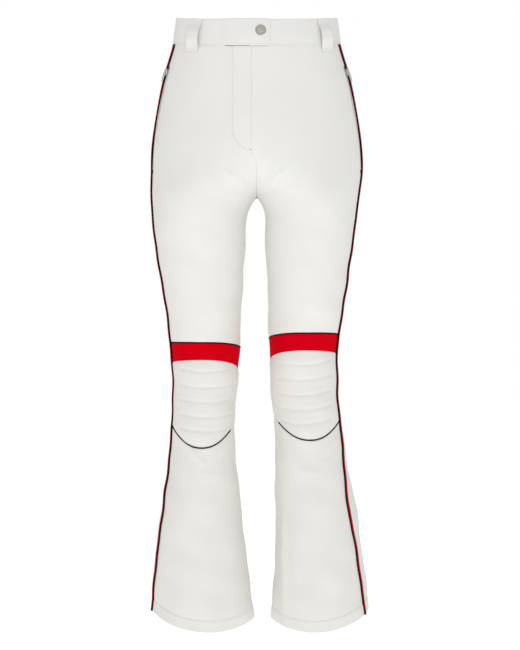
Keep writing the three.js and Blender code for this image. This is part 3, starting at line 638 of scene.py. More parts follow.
def bendTab(piece):
    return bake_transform(piece)


def bendKnee(piece, leg):
    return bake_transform(piece)


# The waistband

band = {
    "tabProud": 4, "tabEnd": 22, "tabSink": 2.2, "sinkFrom": 13, "underlapEnd": -12, "frontFrom": -104,
    "riseFrom": -63, "riseTo": -42,
}
bandRows = (atRow(0), atRow(-waist["band"]))
underBand = atRow(-waist["band"] - stripe["seam"])


# The band is full and rounded, with a dip along the sewn line near its lower edge
def bandRelief(angle, z, places, away):
    crown = 0.5 * np.sin(np.clip(away["T"] / waist["band"], 0, 1) * pi)
    return crown - 0.55 * np.exp(-((away["B"] - 2.6) / 0.9) ** 2)


# The front of the band climbs over its other end, and settles again at the tab's end
def tabLift(x):
    sunk = band["tabSink"] * smooth(x, band["sinkFrom"], band["tabEnd"])
    return band["tabProud"] * smooth(x, band["riseFrom"], band["riseTo"]) - sunk


def frontBandRelief(angle, z, places, away):
    lift = tabLift(places[..., 0])
    atEnd = 0.5 * np.exp(-((away["L"] - 3) / 0.9) ** 2)
    return bandRelief(angle, z, places, away) * 0.9 + lift - atEnd


bandLines = [-waist["band"] + d for d in (1.8, 2.2, 2.6, 3.0, 3.4)]
ring = bentPanel(
    "waistbandRing", "left",
    (acrossFront("left", band["underlapEnd"]), roundTheBack(band["frontFrom"] - 0.15)), *bandRows, roll="LTB",
    rollDepth=seamRoll["soft"], relief=bandRelief, held="stretched", rests="waist_opening", rows=bandLines,
)
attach(ring, "seat")
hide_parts("waistband_shell")
bandFront = bentPanel(
    "waistbandFront", "right",
    (acrossFront("right", band["tabEnd"]), acrossFront("right", band["frontFrom"] + 0.15)), *bandRows,
    roll="LTB", rollDepth=0.5, relief=frontBandRelief, held="stretched", rows=bandLines,
    rests="waistbandRing",
)
bendTab(bandFront)
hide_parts("waist_tab")
facing = bentPanel(
    "waistbandFacing", "left",
    (acrossFront("left", band["underlapEnd"]), roundTheBack(fly["stitchX"] - 0.15)), atRow(-1),
    atRow(1 - waist["band"]), materials=("lining",), out=-1.8, thick=1.1, roll="", held="stretched",
    rests="waistbandRing",
)
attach(facing, "seat")
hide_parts("waistband_facing")

loop = {"width": 24, "thick": 1.6, "space": 5, "length": 58, "foot": 9}
loopAngles = {"leftFront": 38, "rightFront": 136, "leftBack": -42, "rightBack": -138, "back": -90}
loopNodes = {
    "leftFront": "left_front_belt_loop", "rightFront": "right_front_belt_loop",
    "leftBack": "left_back_belt_loop", "rightBack": "right_back_belt_loop", "back": "back_belt_loop",
}


def frameAt(place, outward, upward):
    y = outward / np.linalg.norm(outward)
    x = np.cross(y, upward)
    x /= np.linalg.norm(x)
    z = np.cross(x, y)
    return np.array([x, y, z]), place


def inFrame(at, local):
    axes, place = at
    return np.asarray(local, float) @ axes + place


def loopFrame(degrees):
    whole = math.radians(degrees)
    onLeft = math.cos(whole) > -0.01
    leg = "left" if onLeft else "right"
    angle = whole if onLeft else math.copysign(pi, whole) - whole
    z = float(tilted(-loop["length"] / 2, angle))
    low, high = (pointOn(leg, angle, z + s * loop["length"] / 2) for s in (-1, 1))
    out = normalOn(leg, angle, z)
    bow = max(float(np.dot(pointOn(leg, angle, z) - 0.5 * (low + high), out)), 0)
    return frameAt(0.5 * (low + high), out, high - low), bow + 0.45


# The webbing leaves the band at each foot and stands clear of it in between
def loopShape(at, seat, across, along):
    half = loop["length"] / 2 - 1
    end = half - np.abs(along)
    lift = loop["space"] * smooth(end, loop["foot"] - 6, loop["foot"] + 15)
    rolled = 0.35 * np.exp(-((loop["width"] / 2 - np.abs(across)) / 0.7) ** 2)
    sewn = 0.3 * np.exp(-((np.abs(across) - loop["width"] / 2 + 2.6) / 0.8) ** 2)
    out = seat + loop["thick"] + lift - rolled - sewn
    return inFrame(at, np.stack([across, out, along], -1))


def buildLoop(name, degrees):
    at, seat = loopFrame(degrees)
    half = loop["length"] / 2 - 1
    across = loop["width"] * (spread(loop["width"], 1.6) - 0.5)
    along = 2 * half * (0.5 - spread(2 * half, 1.2))
    x, z = np.meshgrid(across, along)
    places = loopShape(at, seat, x, z)
    outward = np.broadcast_to(at[0][1], places.shape)
    mesh = gridMesh(f"beltLoop-{name}", places, np.stack([x, z], -1), outward)
    piece = addObject(f"beltLoop-{name}", mesh, ("ivory",))
    wall = piece.modifiers.new("wall", "SOLIDIFY")
    wall.thickness, wall.offset = (loop["thick"] - 0.2) * mm, -1
    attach(piece, "seat")
    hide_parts(loopNodes[name])


for loopName, loopDegrees in loopAngles.items():
    buildLoop(loopName, loopDegrees)
print("waistband and belt loops made")

# Front and back panels, with extra rows where the cut turns sharply

jRows = [-226, -229, -231, -232.5, -233.5, -234.2, -234.8, -235.2, -235.6, -236, -236.6, -237.5]
slotRows = [-z for z in (*range(86, 93), *range(263, 271))]
hemRows = [-legs["outseam"] - hem["front"] + d for d in (17.6, 18.4, 19.2, 20, 20.8)]


def hemRelief(angle, z, places, away):
    folded = 0.5 * (1 - smooth(away["B"], 17, 19.4))
    return folded - 0.35 * np.exp(-((away["B"] - hem["stitch"]) / 0.9) ** 2)


def jRelief(angle, z, places, away):
    seamed = smooth(-z, 60, 70) * (1 - smooth(-z, 232, 238))
    swell = 0.35 * np.exp(-(away["L"] / 5) ** 2) * seamed
    return swell - 0.3 * np.exp(-((away["L"] - 1.4) / 0.7) ** 2) * seamed


def buildFront(leg):
    def lineX(z):
        return np.where(z > -fly["stitchEnd"], stitchX(z), frontSeamX(z)) if leg == "right" else frontSeamX(z)
    bottom = lowered(dropLine(*kneeTrims[leg]["bandTop"]), -kneeCurve["piping"] - stripe["seam"])
    piece = bentPanel(
        f"{leg}FrontPanel", leg, (frontLine(leg, lineX), frontSideEdge(leg)), underBand, bottom, step=2.9,
        rows=slotRows + (jRows if leg == "right" else []), relief=jRelief if leg == "right" else None,
        rollDepth=seamRoll["soft"],
    )
    bendHip(piece, leg)
    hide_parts(f"{leg}_front_hip_panel", f"{leg}_thigh_front_panel")


def buildBack(leg):
    edges = (backSideEdge(leg), middleEdge(leg, -1))
    upper = bentPanel(
        f"{leg}BackPanel", leg, edges, underBand, level(backSplit), roll="LRT", step=3.3,
        rollDepth=seamRoll["soft"],
    )
    bendHip(upper, leg)
    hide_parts(f"{leg}_back_hip_panel")
    lower = bentPanel(
        f"{leg}BackLegPanel", leg, edges, level(backSplit), hemLine, roll="LRB", step=3.3,
        rollDepth=seamRoll["soft"], relief=hemRelief, rows=[r - 2 for r in hemRows], rests=f"{leg}BackPanel",
    )
    bendKnee(lower, leg)
    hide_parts(f"{leg}_thigh_back_panel", f"{leg}_calf_back_panel")


# The cord is full and round, and rests on the panel's edge
def roundedPiping(angle, z, places, away):
    half = 0.5 * (away["L"] + away["R"])
    side = np.clip((away["L"] - half) / half, -1, 1)
    return -stripe["cordProud"] * (1 - np.sqrt(np.clip(1 - 0.99 * side * side, 0, 1)))


def tapeRelief(angle, z, places, away):
    return 0.5 * (1 - np.exp(-(np.minimum(away["L"], away["R"]) / 1.0) ** 2))


def buildStripe(leg):
    near = stripe["seam"] / 2
    cordTo = stripe["cordFrom"] + stripe["cordWidth"]
    pipingEdges = fromStripe(leg, stripe["cordFrom"]), fromStripe(leg, cordTo)
    far = 1.5 * stripe["seam"] + stripe["piping"]
    tapeEdges = fromStripe(leg, far), fromStripe(leg, far + stripe["tape"])
    parts = (
        ("", underBand, level(backSplit), bendHip, ("hip",)),
        ("Leg", level(backSplit), hemLine, bendKnee, ("thigh", "calf")),
    )
    for suffix, high, low, bend, stands in parts:
        piping = bentPanel(
            f"{leg}Piping{suffix}", leg, pipingEdges, high, low, materials=("sideCord",), step=3.3,
            out=stripe["cordProud"], thick=1.6, roll="", relief=roundedPiping, localUv=True, sheet=False,
        )
        bend(piping, leg)
        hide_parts(*[f"{leg}_{part}_piping" for part in stands])
        tape = bentPanel(
            f"{leg}SideTape{suffix}", leg, tapeEdges, high, low, materials=("sideTape",), step=3.3, thick=1.2,
            roll="", relief=tapeRelief, localUv=True, sheet=False,
        )
        bend(tape, leg)
        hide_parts(*[f"{leg}_{part}_side_tape" for part in stands])


for legName in ("left", "right"):
    buildFront(legName)
    buildBack(legName)
    buildStripe(legName)
print("front panels, back panels and side stripes made")

# Knee and calf

quilt = {
    "lines": {"right": (-600, -626.5, -651.5, -676, -699.5), "left": (-589, -613.5, -639.5, -664, -687.5)},
    "zone": {"right": (-127, -42), "left": (37, 124)},
    # the rise at the ends, and how far off centre the low point is
    "smile": {"right": (5.0, 0.05), "left": (6.5, -0.18)},
    "depth": 2.0, "width": 2.2, "crown": 3.4,
    # the upright lines at both sides fade in and out over these depths
    "sideFrom": (596, 604), "sideTo": (694, 706), "sideWidth": 1.8, "sideDepth": 0.55,
}


def quiltLine(leg, zLow, x):
    low, high = quilt["zone"][leg]
    rise, shift = quilt["smile"][leg]
    middle, half = 0.5 * (low + high), 0.5 * (high - low)
    return zLow + rise * ((x - middle) / half - shift) ** 2


def padRelief(leg):
    low, high = quilt["zone"][leg]

    def relief(angle, z, places, away):
        x = places[..., 0]
        edge = np.minimum(np.minimum(away["T"], away["B"]), np.minimum(away["L"], away["R"]))
        crown = quilt["crown"] * (1 - np.exp(-(edge / 9.0) ** 1.3))
        inZone = smooth(x, low - 3, low + 5) * (1 - smooth(x, high - 5, high + 3))
        inZone = inZone * smooth(np.sin(angle), 0.05, 0.25)
        channel = np.zeros_like(z)
        for zLow in quilt["lines"][leg]:
            distance = z - quiltLine(leg, zLow, x)
            channel = np.maximum(channel, np.exp(-np.abs(distance / quilt["width"]) ** 1.25))
        frame = 0.0
        for line in (low, high):
            upright = smooth(-z, *quilt["sideFrom"]) * (1 - smooth(-z, *quilt["sideTo"]))
            frame = np.maximum(frame, np.exp(-((x - line) / quilt["sideWidth"]) ** 2) * upright)
        sewn = quilt["depth"] * channel * inZone + quilt["sideDepth"] * frame
        return crown - sewn * np.minimum(crown / 2.4, 1)
    return relief


def beside(leg):
    return frontLine(leg, frontSeamX), fromStripe(leg, -stripe["gap"] + stripe["seam"] / 2)


def calfRelief(angle, z, places, away):
    return hemRelief(angle, z, places, away) - 0.25 * np.exp(-(away["T"] / 2.2) ** 2)


def buildKnee(leg):
    edges = beside(leg)
    bandTop = dropLine(*kneeTrims[leg]["bandTop"])
    bandBottom = dropLine(*kneeTrims[leg]["bandBottom"])
    common = {"rests": f"{leg}FrontPanel", "held": "hung"}
    piping = bentPanel(
        f"{leg}BandPiping", leg, edges, lowered(bandTop, -kneeCurve["piping"]), bandTop,
        materials=("piping",), out=0.8, thick=1.8, roll="", relief=upDownRound, sheet=False,
    )
    redBand = bentPanel(
        f"{leg}KneeBand", leg, edges, lowered(bandTop, stripe["seam"]), bandBottom,
        materials=("red", "lining"), step=2.5, rollDepth=0.6, **common,
    )
    pad = bentPanel(
        f"{leg}KneePad", leg, edges, lowered(bandBottom, stripe["seam"]), curveLine(leg),
        materials=("quilt", "lining"), step=1.9, thick=3.0, relief=padRelief(leg), rollDepth=0.5, sheet=False,
    )
    shortEdges = curveEnd, edges[1]
    curvePiping = bentPanel(
        f"{leg}CurvePiping", leg, shortEdges, curveLine(leg, stripe["gap"]),
        curveLine(leg, stripe["gap"] + kneeCurve["piping"]), materials=("piping",), out=0.9, thick=1.8,
        roll="", relief=upDownRound, step=1.6, sheet=False,
    )
    calf = bentPanel(
        f"{leg}CalfPanel", leg, edges, calfTop(leg), hemLine,
        materials=("calf", "lining"), step=2.9, relief=calfRelief, rows=hemRows, **common,
    )
    for piece, node in (
        (piping, "knee_band_piping"), (redBand, "knee_band"), (pad, "knee_pad"),
        (curvePiping, "knee_curve_piping"), (calf, "calf_front_panel"),
    ):
        bendKnee(piece, leg)
        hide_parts(f"{leg}_{node}")


def upDownRound(angle, z, places, away):
    half = 0.5 * (away["T"] + away["B"])
    side = np.clip((away["T"] - half) / np.maximum(half, 0.01), -1, 1)
    return -1.1 * (1 - np.sqrt(np.clip(1 - 0.96 * side * side, 0, 1)))


# The dark trim under the pad runs out just short of the inner side, and the calf closes up to the pad there
def curveEnd(z):
    return np.full_like(np.asarray(z, float), kneeCurve["endAngle"])


def calfTop(leg):
    def line(angle):
        trimmed = 1 - smooth(angle, kneeCurve["endAngle"] - 0.02, kneeCurve["endAngle"] + 0.02)
        trim = 2 * stripe["gap"] + kneeCurve["piping"] - stripe["seam"]
        return curveLine(leg)(angle) - stripe["seam"] - trim * trimmed
    return line


def buildHemFacing(leg):
    edges = (lambda z: shiftAngle(leg, pi + 0 * z, z, 0.5), lambda z: shiftAngle(leg, -pi + 0 * z, z, -0.5))
    top = lambda angle: hemLine(angle) + 20.5
    bottom = lambda angle: hemLine(angle) + 0.5
    piece = bentPanel(
        f"{leg}HemFacing", leg, edges, top, bottom, materials=("lining",), out=-2.6, thick=1.1, roll="",
        step=3.5, held="folded", rests=f"{leg}CalfPanel",
    )
    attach(piece, f"{leg}_calf")
    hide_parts(f"{leg}_hem_facing")


for legName in ("left", "right"):
    buildKnee(legName)
    buildHemFacing(legName)
print("knees, calves and hem facings made")

# The fly

flyParts = {
    "flapThick": 1.2, "flapBottom": -235.4, "zipX": -16, "zipTop": 72, "zipBottom": 214, "chainInner": -6.1,
    "chainThick": 1.4, "tooth": (3.0, 1.3, 1.0), "tapeFrom": -15, "tapeTo": 23, "tapeThick": 0.35,
    "tapeEnds": (2, -4), "toothPitch": 2.3, "toothApart": 0.95, "slider": (9, 13, 1.5), "pull": (6, 22, 0.8),
    "shieldOut": -8.5, "shieldThick": 1.2, "shieldSides": (17, -33), "shieldEnd": -225,
}


def flapRelief(angle, z, places, away):
    return 0.15 * (1 - np.exp(-(away["R"] / 4) ** 2)) - 0.2


def buildFlap():
    edges = (
        lambda z: frontAngleAt("right", frontSeamX(z) - stripe["seam"] / 2, z),
        lambda z: frontAngleAt("right", stitchX(z) + stripe["seam"] / 2, z),
    )
    flap = bentPanel(
        "flyFlap", "right", edges, underBand, level(flyParts["flapBottom"]), step=2.2,
        thick=flyParts["flapThick"], roll="LRB", rows=jRows, rollDepth=0.3, relief=flapRelief,
        rests="waistbandFront",
    )
    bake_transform(flap)
    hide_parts("fly_flap")


# The shield lies behind the zip, and its edge comes forward to the left front
def shieldRelief(angle, z, places, away):
    return (-2.1 - flyParts["shieldOut"]) * smooth(places[..., 0], 8, 15.5)


def buildShield():
    shield = bentPanel(
        "flyShield", "right", [acrossFront("right", x) for x in flyParts["shieldSides"]],
        atRow(-waist["band"] - 2), level(flyParts["shieldEnd"]), materials=("lining",),
        out=flyParts["shieldOut"], thick=flyParts["shieldThick"], roll="", relief=shieldRelief, held="folded",
        rests="waistbandFacing",
    )
    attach(shield, "seat")
    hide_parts("fly_shield")


def flyZipFrame():
    top, bottom = (
        pointOn("right", frontAngleAt("right", flyParts["zipX"], -d), -d)
        for d in (flyParts["zipTop"], flyParts["zipBottom"])
    )
    length = float(np.linalg.norm(top - bottom))
    up = (top - bottom) / length
    outward = np.array([0.0, -1.0, 0.0])
    return frameAt(top, outward - outward.dot(up) * up, up), length


def matrixOf(at):
    axes, origin = at
    place = origin * mm
    return Matrix([[*axes[:, i], place[i]] for i in range(3)] + [[0, 0, 0, 1]])


def meshFrom(name, bm, matrix=None):
    if matrix is not None:
        bmesh.ops.transform(bm, matrix=matrix, verts=bm.verts)
    bmesh.ops.recalc_face_normals(bm, faces=bm.faces)
    mesh = bpy.data.meshes.new(name)
    bm.to_mesh(mesh)
    bm.free()
    return mesh


def softenEdges(bm, width, angle=0.6, segments=2):
    sharp = [e for e in bm.edges if len(e.link_faces) == 2 and e.calc_face_angle(0) > angle]
    bmesh.ops.bevel(
        bm, geom=sharp, offset=width * mm, segments=segments, profile=0.5, affect="EDGES", material=-1,
    )


# A flat piece with a rounded outline in x and z and its hole bridged to the outline
def plateMesh(outline, low, high, hole=None, edge=0.25):
    bm = bmesh.new()

    def ringOf(points):
        verts = [bm.verts.new((x * mm, low * mm, z * mm)) for x, z in points]
        return [bm.edges.new((a, b)) for a, b in zip(verts, verts[1:] + verts[:1])]
    rings = ringOf(outline)
    if hole:
        rings += ringOf(hole)
        bmesh.ops.bridge_loops(bm, edges=rings)
    else:
        bmesh.ops.contextual_create(bm, geom=rings)
    grown = bmesh.ops.extrude_face_region(bm, geom=bm.faces[:])["geom"]
    raised = [part for part in grown if isinstance(part, bmesh.types.BMVert)]
    bmesh.ops.translate(bm, verts=raised, vec=(0, (high - low) * mm, 0))
    bmesh.ops.recalc_face_normals(bm, faces=bm.faces)
    softenEdges(bm, edge)
    return bm


def ovalRing(halfWide, high, low, count=24, square=2.6):
    middle, half = 0.5 * (high + low), 0.5 * (high - low)
    points = []
    for i in range(count):
        turn = 2 * pi * i / count
        c, s = math.cos(turn), math.sin(turn)
        reach = (abs(c) ** square + abs(s) ** square) ** (-1 / square)
        points.append((halfWide * reach * c, middle + half * reach * s))
    return points


def addMetal(name, bm, at, body, node, metal="brightNickel"):
    piece = addObject(name, meshFrom(name, bm, matrixOf(at)), (metal,))
    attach(piece, body)
    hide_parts(node)
    return piece


# A slider: a body that narrows downwards, and the bridge that its pull hangs from
def sliderMesh(wide, long, low, high, bridge):
    half = wide / 2
    shares = [(0.55, 0), (1, 0.2), (0.92, 0.6), (0.62, 0.9), (0.4, 1)]  # of half its width and of its length
    right = [(half * x, -long * z) for x, z in shares]
    outline = [(-right[0][0], right[0][1]), *right, *[(-x, z) for x, z in right[:0:-1]]]
    bm = plateMesh(outline, low, high - bridge, edge=0.3)
    for x in (-1, 1):
        rail = Matrix.Translation((x * half * 0.62 * mm, (high - bridge) * mm, -0.42 * long * mm))
        bmesh.ops.create_cube(
            bm, size=1, matrix=rail @ Matrix.Diagonal((0.7 * mm, 0.5 * mm, 0.5 * long * mm, 1)),
        )
    foot = Matrix.Translation((0, high * mm - bridge * mm, -0.9 * mm))
    ring = bmesh.ops.create_circle(bm, cap_ends=True, segments=12, radius=0.55 * mm, matrix=foot)["verts"]
    wires, caps = {e for v in ring for e in v.link_edges}, {f for v in ring for f in v.link_faces}
    bmesh.ops.spin(
        bm, geom=ring + list(wires) + list(caps), cent=(0, (high - bridge) * mm, -long * 0.36 * mm),
        axis=(1, 0, 0), angle=pi, steps=12, use_merge=False, use_duplicate=False,
    )
    return bm


def buildFlyZip():
    at, length = flyZipFrame()
    inner, outer = flyParts["chainInner"], flyParts["chainInner"] + flyParts["chainThick"]
    tapeOut = inner - stripe["seam"]
    wide = flyParts["tapeTo"] - flyParts["tapeFrom"]
    above, below = flyParts["tapeEnds"]
    long = length + above - below
    across = flyParts["tapeFrom"] + wide * spread(wide, 2.2)
    along = above - long * spread(long, 3)
    x, z = np.meshgrid(across, along)
    raised = 0.25 * np.exp(-(x / 3.2) ** 2)
    places = inFrame(at, np.stack([x, tapeOut - 0.02 + raised - 0.25, z], -1))
    mesh = gridMesh("flyZipTape", places, np.stack([x, z], -1), np.broadcast_to(at[0][1], places.shape))
    tape = addObject("flyZipTape", mesh, ("zipTape",))
    wall = tape.modifiers.new("wall", "SOLIDIFY")
    wall.thickness, wall.offset = flyParts["tapeThick"] * mm, -1
    size = (wide * mm, round(long * mm, 4))
    flatSizes["flyZipTape"] = (*size, round(size[0] * size[1], 5))
    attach(tape, "seat")
    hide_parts("fly_zip_tape")
    bm = bmesh.new()
    count = int(length / flyParts["toothPitch"])
    for i in range(count):
        for side in (-1, 1):
            down = (i + 0.25 + 0.25 * (1 + side)) * flyParts["toothPitch"]
            spot = Matrix.Translation((
                side * flyParts["toothApart"] * mm, 0.5 * (inner + outer) * mm, -down * mm,
            ))
            bmesh.ops.create_cube(
                bm, size=1, matrix=spot @ Matrix.Diagonal((*[t * mm for t in flyParts["tooth"]], 1)),
            )
    softenEdges(bm, 0.22, segments=1)
    addMetal("flyZipTeeth", bm, at, "seat", "fly_zip_chain")
    wide, long, thick = flyParts["slider"]
    low = outer + stripe["seam"]
    addMetal(
        "flyZipSlider", sliderMesh(wide, long, low, low + thick, 0.55), at, "fly_zip_carriage",
        "fly_zip_slider",
    )
    pullWide, pullLong, pullThick = flyParts["pull"]
    start = low + thick + 0.2
    outline, hole = ovalRing(pullWide / 2, -2, -2 - pullLong), ovalRing(pullWide / 2 - 1.3, -3.4, -8)
    addMetal(
        "flyZipPull", plateMesh(outline, start, start + pullThick, hole=hole, edge=0.2), at,
        "fly_zip_carriage", "fly_zip_pull",
    )


# The snap, as outlines of radius and height out of the cloth

snap = {
    "x": 6.4, "z": -40,
    "cap": [(0, 2.2), (1.5, 2.2), (1.5, 4.3), (8.15, 4.3), (8.75, 4.8), (8.62, 5.3), (8.1, 5.72),
        (7.3, 5.9), (6.6, 5.84),
            (6.2, 5.62), (5.5, 5.6), (4.4, 5.82), (2.4, 6.0), (0, 6.06)],
    "socket": [(3.2, 0.3), (5.6, 0.3), (6.0, 1.5), (5.6, 2.1), (1.8, 2.1), (1.8, 1.7), (3.2, 1.7),
        (3.2, 0.3)],
    "stud": [(0, -4.4), (5, -4.2), (5, -3.2), (1.5, -3.2), (1.5, 0.3), (2.0, 0.3), (2.6, 0.8),
        (2.1, 1.3), (0, 1.3)],
}


def turnedMesh(outline, steps=56):
    bm = bmesh.new()
    verts = [bm.verts.new((r * mm, out * mm, 0)) for r, out in outline]
    edges = [bm.edges.new(pair) for pair in zip(verts, verts[1:])]
    bmesh.ops.spin(
        bm, geom=verts + edges, cent=(0, 0, 0), axis=(0, 1, 0), angle=2 * pi, steps=steps, use_merge=True,
        use_duplicate=False,
    )
    bmesh.ops.remove_doubles(bm, verts=bm.verts, dist=1e-6)
    bmesh.ops.recalc_face_normals(bm, faces=bm.faces)
    softenEdges(bm, 0.12)
    return bm


def buildSnap():
    angle = frontAngleAt("left", snap["x"], snap["z"])
    at = frameAt(pointOn("left", angle, snap["z"]), normalOn("left", angle, snap["z"]), np.array([0, 0, 1.0]))
    for part, body in (("cap", "fly_front"), ("socket", "fly_front"), ("stud", "seat")):
        addMetal(f"snap-{part}", turnedMesh(snap[part]), at, body, f"snap_{part}", metal="satinNickel")


buildFlap()
buildShield()
buildFlyZip()
buildSnap()
print("fly and snap made")

# Pocket zips

zipParts = {
    "tapeWide": 18, "tapeOut": -2.1, "tapeThick": 0.8, "coilWide": 2.2, "coilProud": 0.4, "coilPitch": 1.5,
    "slider": (6, 12, 2.0), "sliderLow": 2.7, "pull": (6, 21, 1.3), "pullLow": 4.8, "hinge": 2.5,
    "bagWide": 74, "bagTop": 78, "bagBottom": 284, "bagOut": -3.9, "bagThick": 1.8,
}


# The teeth and the slider follow a wide arc through three points of the seam
def pocketArc(leg):
    seam = fromStripe(leg, -stripe["seam"] / 2 - pocket["slot"] / 2)
    depths = pocket["top"] + 2, pocket["top"] + 0.6 * (pocket["bottom"] - pocket["top"]), pocket["bottom"] - 2
    top, mid, bottom = (pointOn(leg, seam(-d), -d) for d in depths)
    axis = np.cross(bottom - mid, top - mid)
    axis /= np.linalg.norm(axis)
    first, second = np.cross(mid - top, axis), np.cross(bottom - mid, axis)
    between = 0.5 * (mid + bottom) - 0.5 * (top + mid)
    share = np.cross(between, second).dot(axis) / np.cross(first, second).dot(axis)
    centre = 0.5 * (top + mid) + first * share
    toTop, toBottom = top - centre, bottom - centre
    radius = float(np.linalg.norm(toTop))
    angle = math.acos(np.clip(toTop.dot(toBottom) / radius / np.linalg.norm(toBottom), -1, 1))
    if np.cross(toTop, toBottom).dot(axis) < 0:
        axis = -axis
    up = -np.cross(toTop, axis)
    up /= np.linalg.norm(up)
    up = -up if up[2] < 0 else up
    outward = normalOn(leg, seam(-depths[0]), -depths[0])
    outward = outward - outward.dot(up) * up
    at = frameAt(top, outward, up)
    return {"centre": centre, "axis": axis, "length": angle * radius, "radius": radius, "at": at}


# The matrix of a piece that sits some way down the arc
def downArc(arc, down):
    turn = Matrix.Rotation(down / arc["radius"], 4, Vector(arc["axis"]))
    there = Matrix.Translation(Vector(arc["centre"]) * mm)
    back = Matrix.Translation(Vector(-arc["centre"]) * mm)
    return there @ turn @ back @ matrixOf(arc["at"])


def buildPocketZip(leg):
    arc = pocketArc(leg)
    slot = pocket["slot"] / 2
    half = zipParts["tapeWide"] / 2
    tape = bentPanel(
        f"{leg}PocketTape", leg, (fromStripe(leg, -half - slot), fromStripe(leg, half - slot)),
        level(-pocket["top"] + 5), level(-pocket["bottom"] - 5), materials=("zipTape",),
        out=zipParts["tapeOut"], thick=zipParts["tapeThick"], roll="", held="stretched",
        rests=f"{leg}FrontPanel", step=2.4,
    )
    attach(tape, "seat")
    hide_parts(f"{leg}_pocket_zip_strip")
    bm = bmesh.new()
    low, high = zipParts["tapeOut"] - 0.3, zipParts["coilProud"]
    for i in range(int(arc["length"] / zipParts["coilPitch"])):
        spot = downArc(arc, (i + 0.5) * zipParts["coilPitch"])
        size = Matrix.Diagonal((zipParts["coilWide"] * mm, (high - low) * mm, 1.05 * mm, 1))
        lean = Matrix.Rotation(math.radians(12), 4, "Y")
        bmesh.ops.create_cube(
            bm, size=1, matrix=spot @ Matrix.Translation((0, 0.5 * (low + high) * mm, 0)) @ lean @ size,
        )
    softenEdges(bm, 0.3, segments=1)
    teeth = addObject(f"{leg}PocketTeeth", meshFrom(f"{leg}PocketTeeth", bm), ("zipTape",))
    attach(teeth, "seat")
    wide, long, thick = zipParts["slider"]
    low = zipParts["sliderLow"]
    bm = sliderMesh(wide, long, low, low + thick, 0.9)
    foot = Matrix.Translation((0, 0.5 * (zipParts["coilProud"] + 0.3 + low + 0.2) * mm, -6 * mm))
    bmesh.ops.create_cube(
        bm, size=1,
        matrix=foot @ Matrix.Diagonal((2 * mm, (low - zipParts["coilProud"] - 0.1) * mm, 9 * mm, 1)),
    )
    carriage = f"{leg}_pocket_zip_carriage"
    addMetal(f"{leg}PocketSlider", bm, arc["at"], carriage, f"{leg}_pocket_zip_slider")
    pullWide, pullLong, pullThick = zipParts["pull"]
    start = zipParts["pullLow"]
    outline = ovalRing(pullWide / 2 - 0.2, -1.9, -zipParts["hinge"] - pullLong)
    hole = ovalRing(pullWide / 2 - 1.5, -3.2, -8.2)
    bm = plateMesh(outline, start, start + pullThick, hole=hole, edge=0.3)
    addMetal(f"{leg}PocketPull", bm, arc["at"], f"{leg}_pocket_zip_tab", f"{leg}_pocket_zip_pull")


def bagRelief(angle, z, places, away):
    edge = np.minimum(np.minimum(away["T"], away["B"]), np.minimum(away["L"], away["R"]))
    return -0.35 * np.exp(-(edge / 3) ** 2)


def buildPocketBag(leg):
    bag = bentPanel(
        f"{leg}PocketBag", leg, (fromStripe(leg, -zipParts["bagWide"]), fromStripe(leg, 0)),
        level(-zipParts["bagTop"]), level(-zipParts["bagBottom"]), materials=("lining",),
        out=zipParts["bagOut"], thick=zipParts["bagThick"], roll="", relief=bagRelief,
        rests=f"{leg}PocketTape", step=4,
    )
    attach(bag, "seat")
    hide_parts(f"{leg}_pocket_bag")


for legName in ("left", "right"):
    buildPocketZip(legName)
    buildPocketBag(legName)
print("pocket zips and bags made")

# Stitching

stitch = {
    "long": 2.7, "pitch": 3.5, "thick": 0.5, "tackPitch": 0.9, "tackLong": 0.75, "pocketTack": (-0.4, -8.5),
}


# Short stitches along a line of places, pressed into the cloth
def sewLine(name, places, bend, pitch=None, long=None):
    pitch, long = pitch or stitch["pitch"], long or stitch["long"]
    steps = np.linalg.norm(np.diff(places, axis=0), axis=1)
    along = np.concatenate([[0], np.cumsum(steps)])
    count = max(2, int(along[-1] / pitch))
    bm = bmesh.new()
    for i in range(count):
        middle = (i + 0.5) * along[-1] / count
        ends = [
            np.array([np.interp(middle + d, along, places[:, k]) for k in range(3)])
            for d in (-long / 2, long / 2)
        ]
        run = Vector(ends[1] - ends[0]).normalized()
        turn = Vector((0, 0, 1)).rotation_difference(run).to_matrix().to_4x4()
        spot = Matrix.Translation(Vector(0.5 * (ends[0] + ends[1])) * mm) @ turn
        size = Matrix.Diagonal((stitch["thick"] / 2 * mm, stitch["thick"] / 2 * mm, long / 2 * mm, 1))
        bmesh.ops.create_icosphere(bm, subdivisions=1, radius=1, matrix=spot @ size)
    mesh = bpy.data.meshes.new(name)
    bm.to_mesh(mesh)
    bm.free()
    piece = addObject(name, mesh, ("thread",))
    bend(piece)
    return piece


def onSeat(piece):
    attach(piece, "seat")


def clothLine(leg, angleAt, heights, out):
    z = np.asarray(heights, float)
    return onCloth(leg, angleAt(z), z, out)


def sewUpright(name, leg, angleAt, high, low, out, bend):
    return sewLine(name, clothLine(leg, angleAt, np.linspace(high, low, 160), out), bend)


def sewRound(name, leg, angles, line, out, bend):
    angle = np.linspace(*angles, 220)
    return sewLine(name, onCloth(leg, angle, line(angle), out), bend)


def sewWaist():
    low = atRow(-waist["band"] + 2.6)
    start = float(frontAngleAt("left", band["tabEnd"] + 2, low(pi / 2)))
    end = float(-pi - frontAngleAt("right", band["frontFrom"] - 1, low(pi / 2)))
    sewRound("bandStitch", "left", (start, end), low, 0.0, onSeat)
    high = float(frontAngleAt("right", band["tabEnd"] - 2, low(pi / 2)))
    far = float(frontAngleAt("right", band["frontFrom"] + 1, low(pi / 2)))
    angle = np.linspace(high, far, 160)
    places = pointOn("right", angle, low(angle))
    places = places + normalOn("right", angle, low(angle)) * (tabLift(places[:, 0]) + 0.05)[:, None]
    sewLine(
        "tabStitch", places, bendTab,
    )


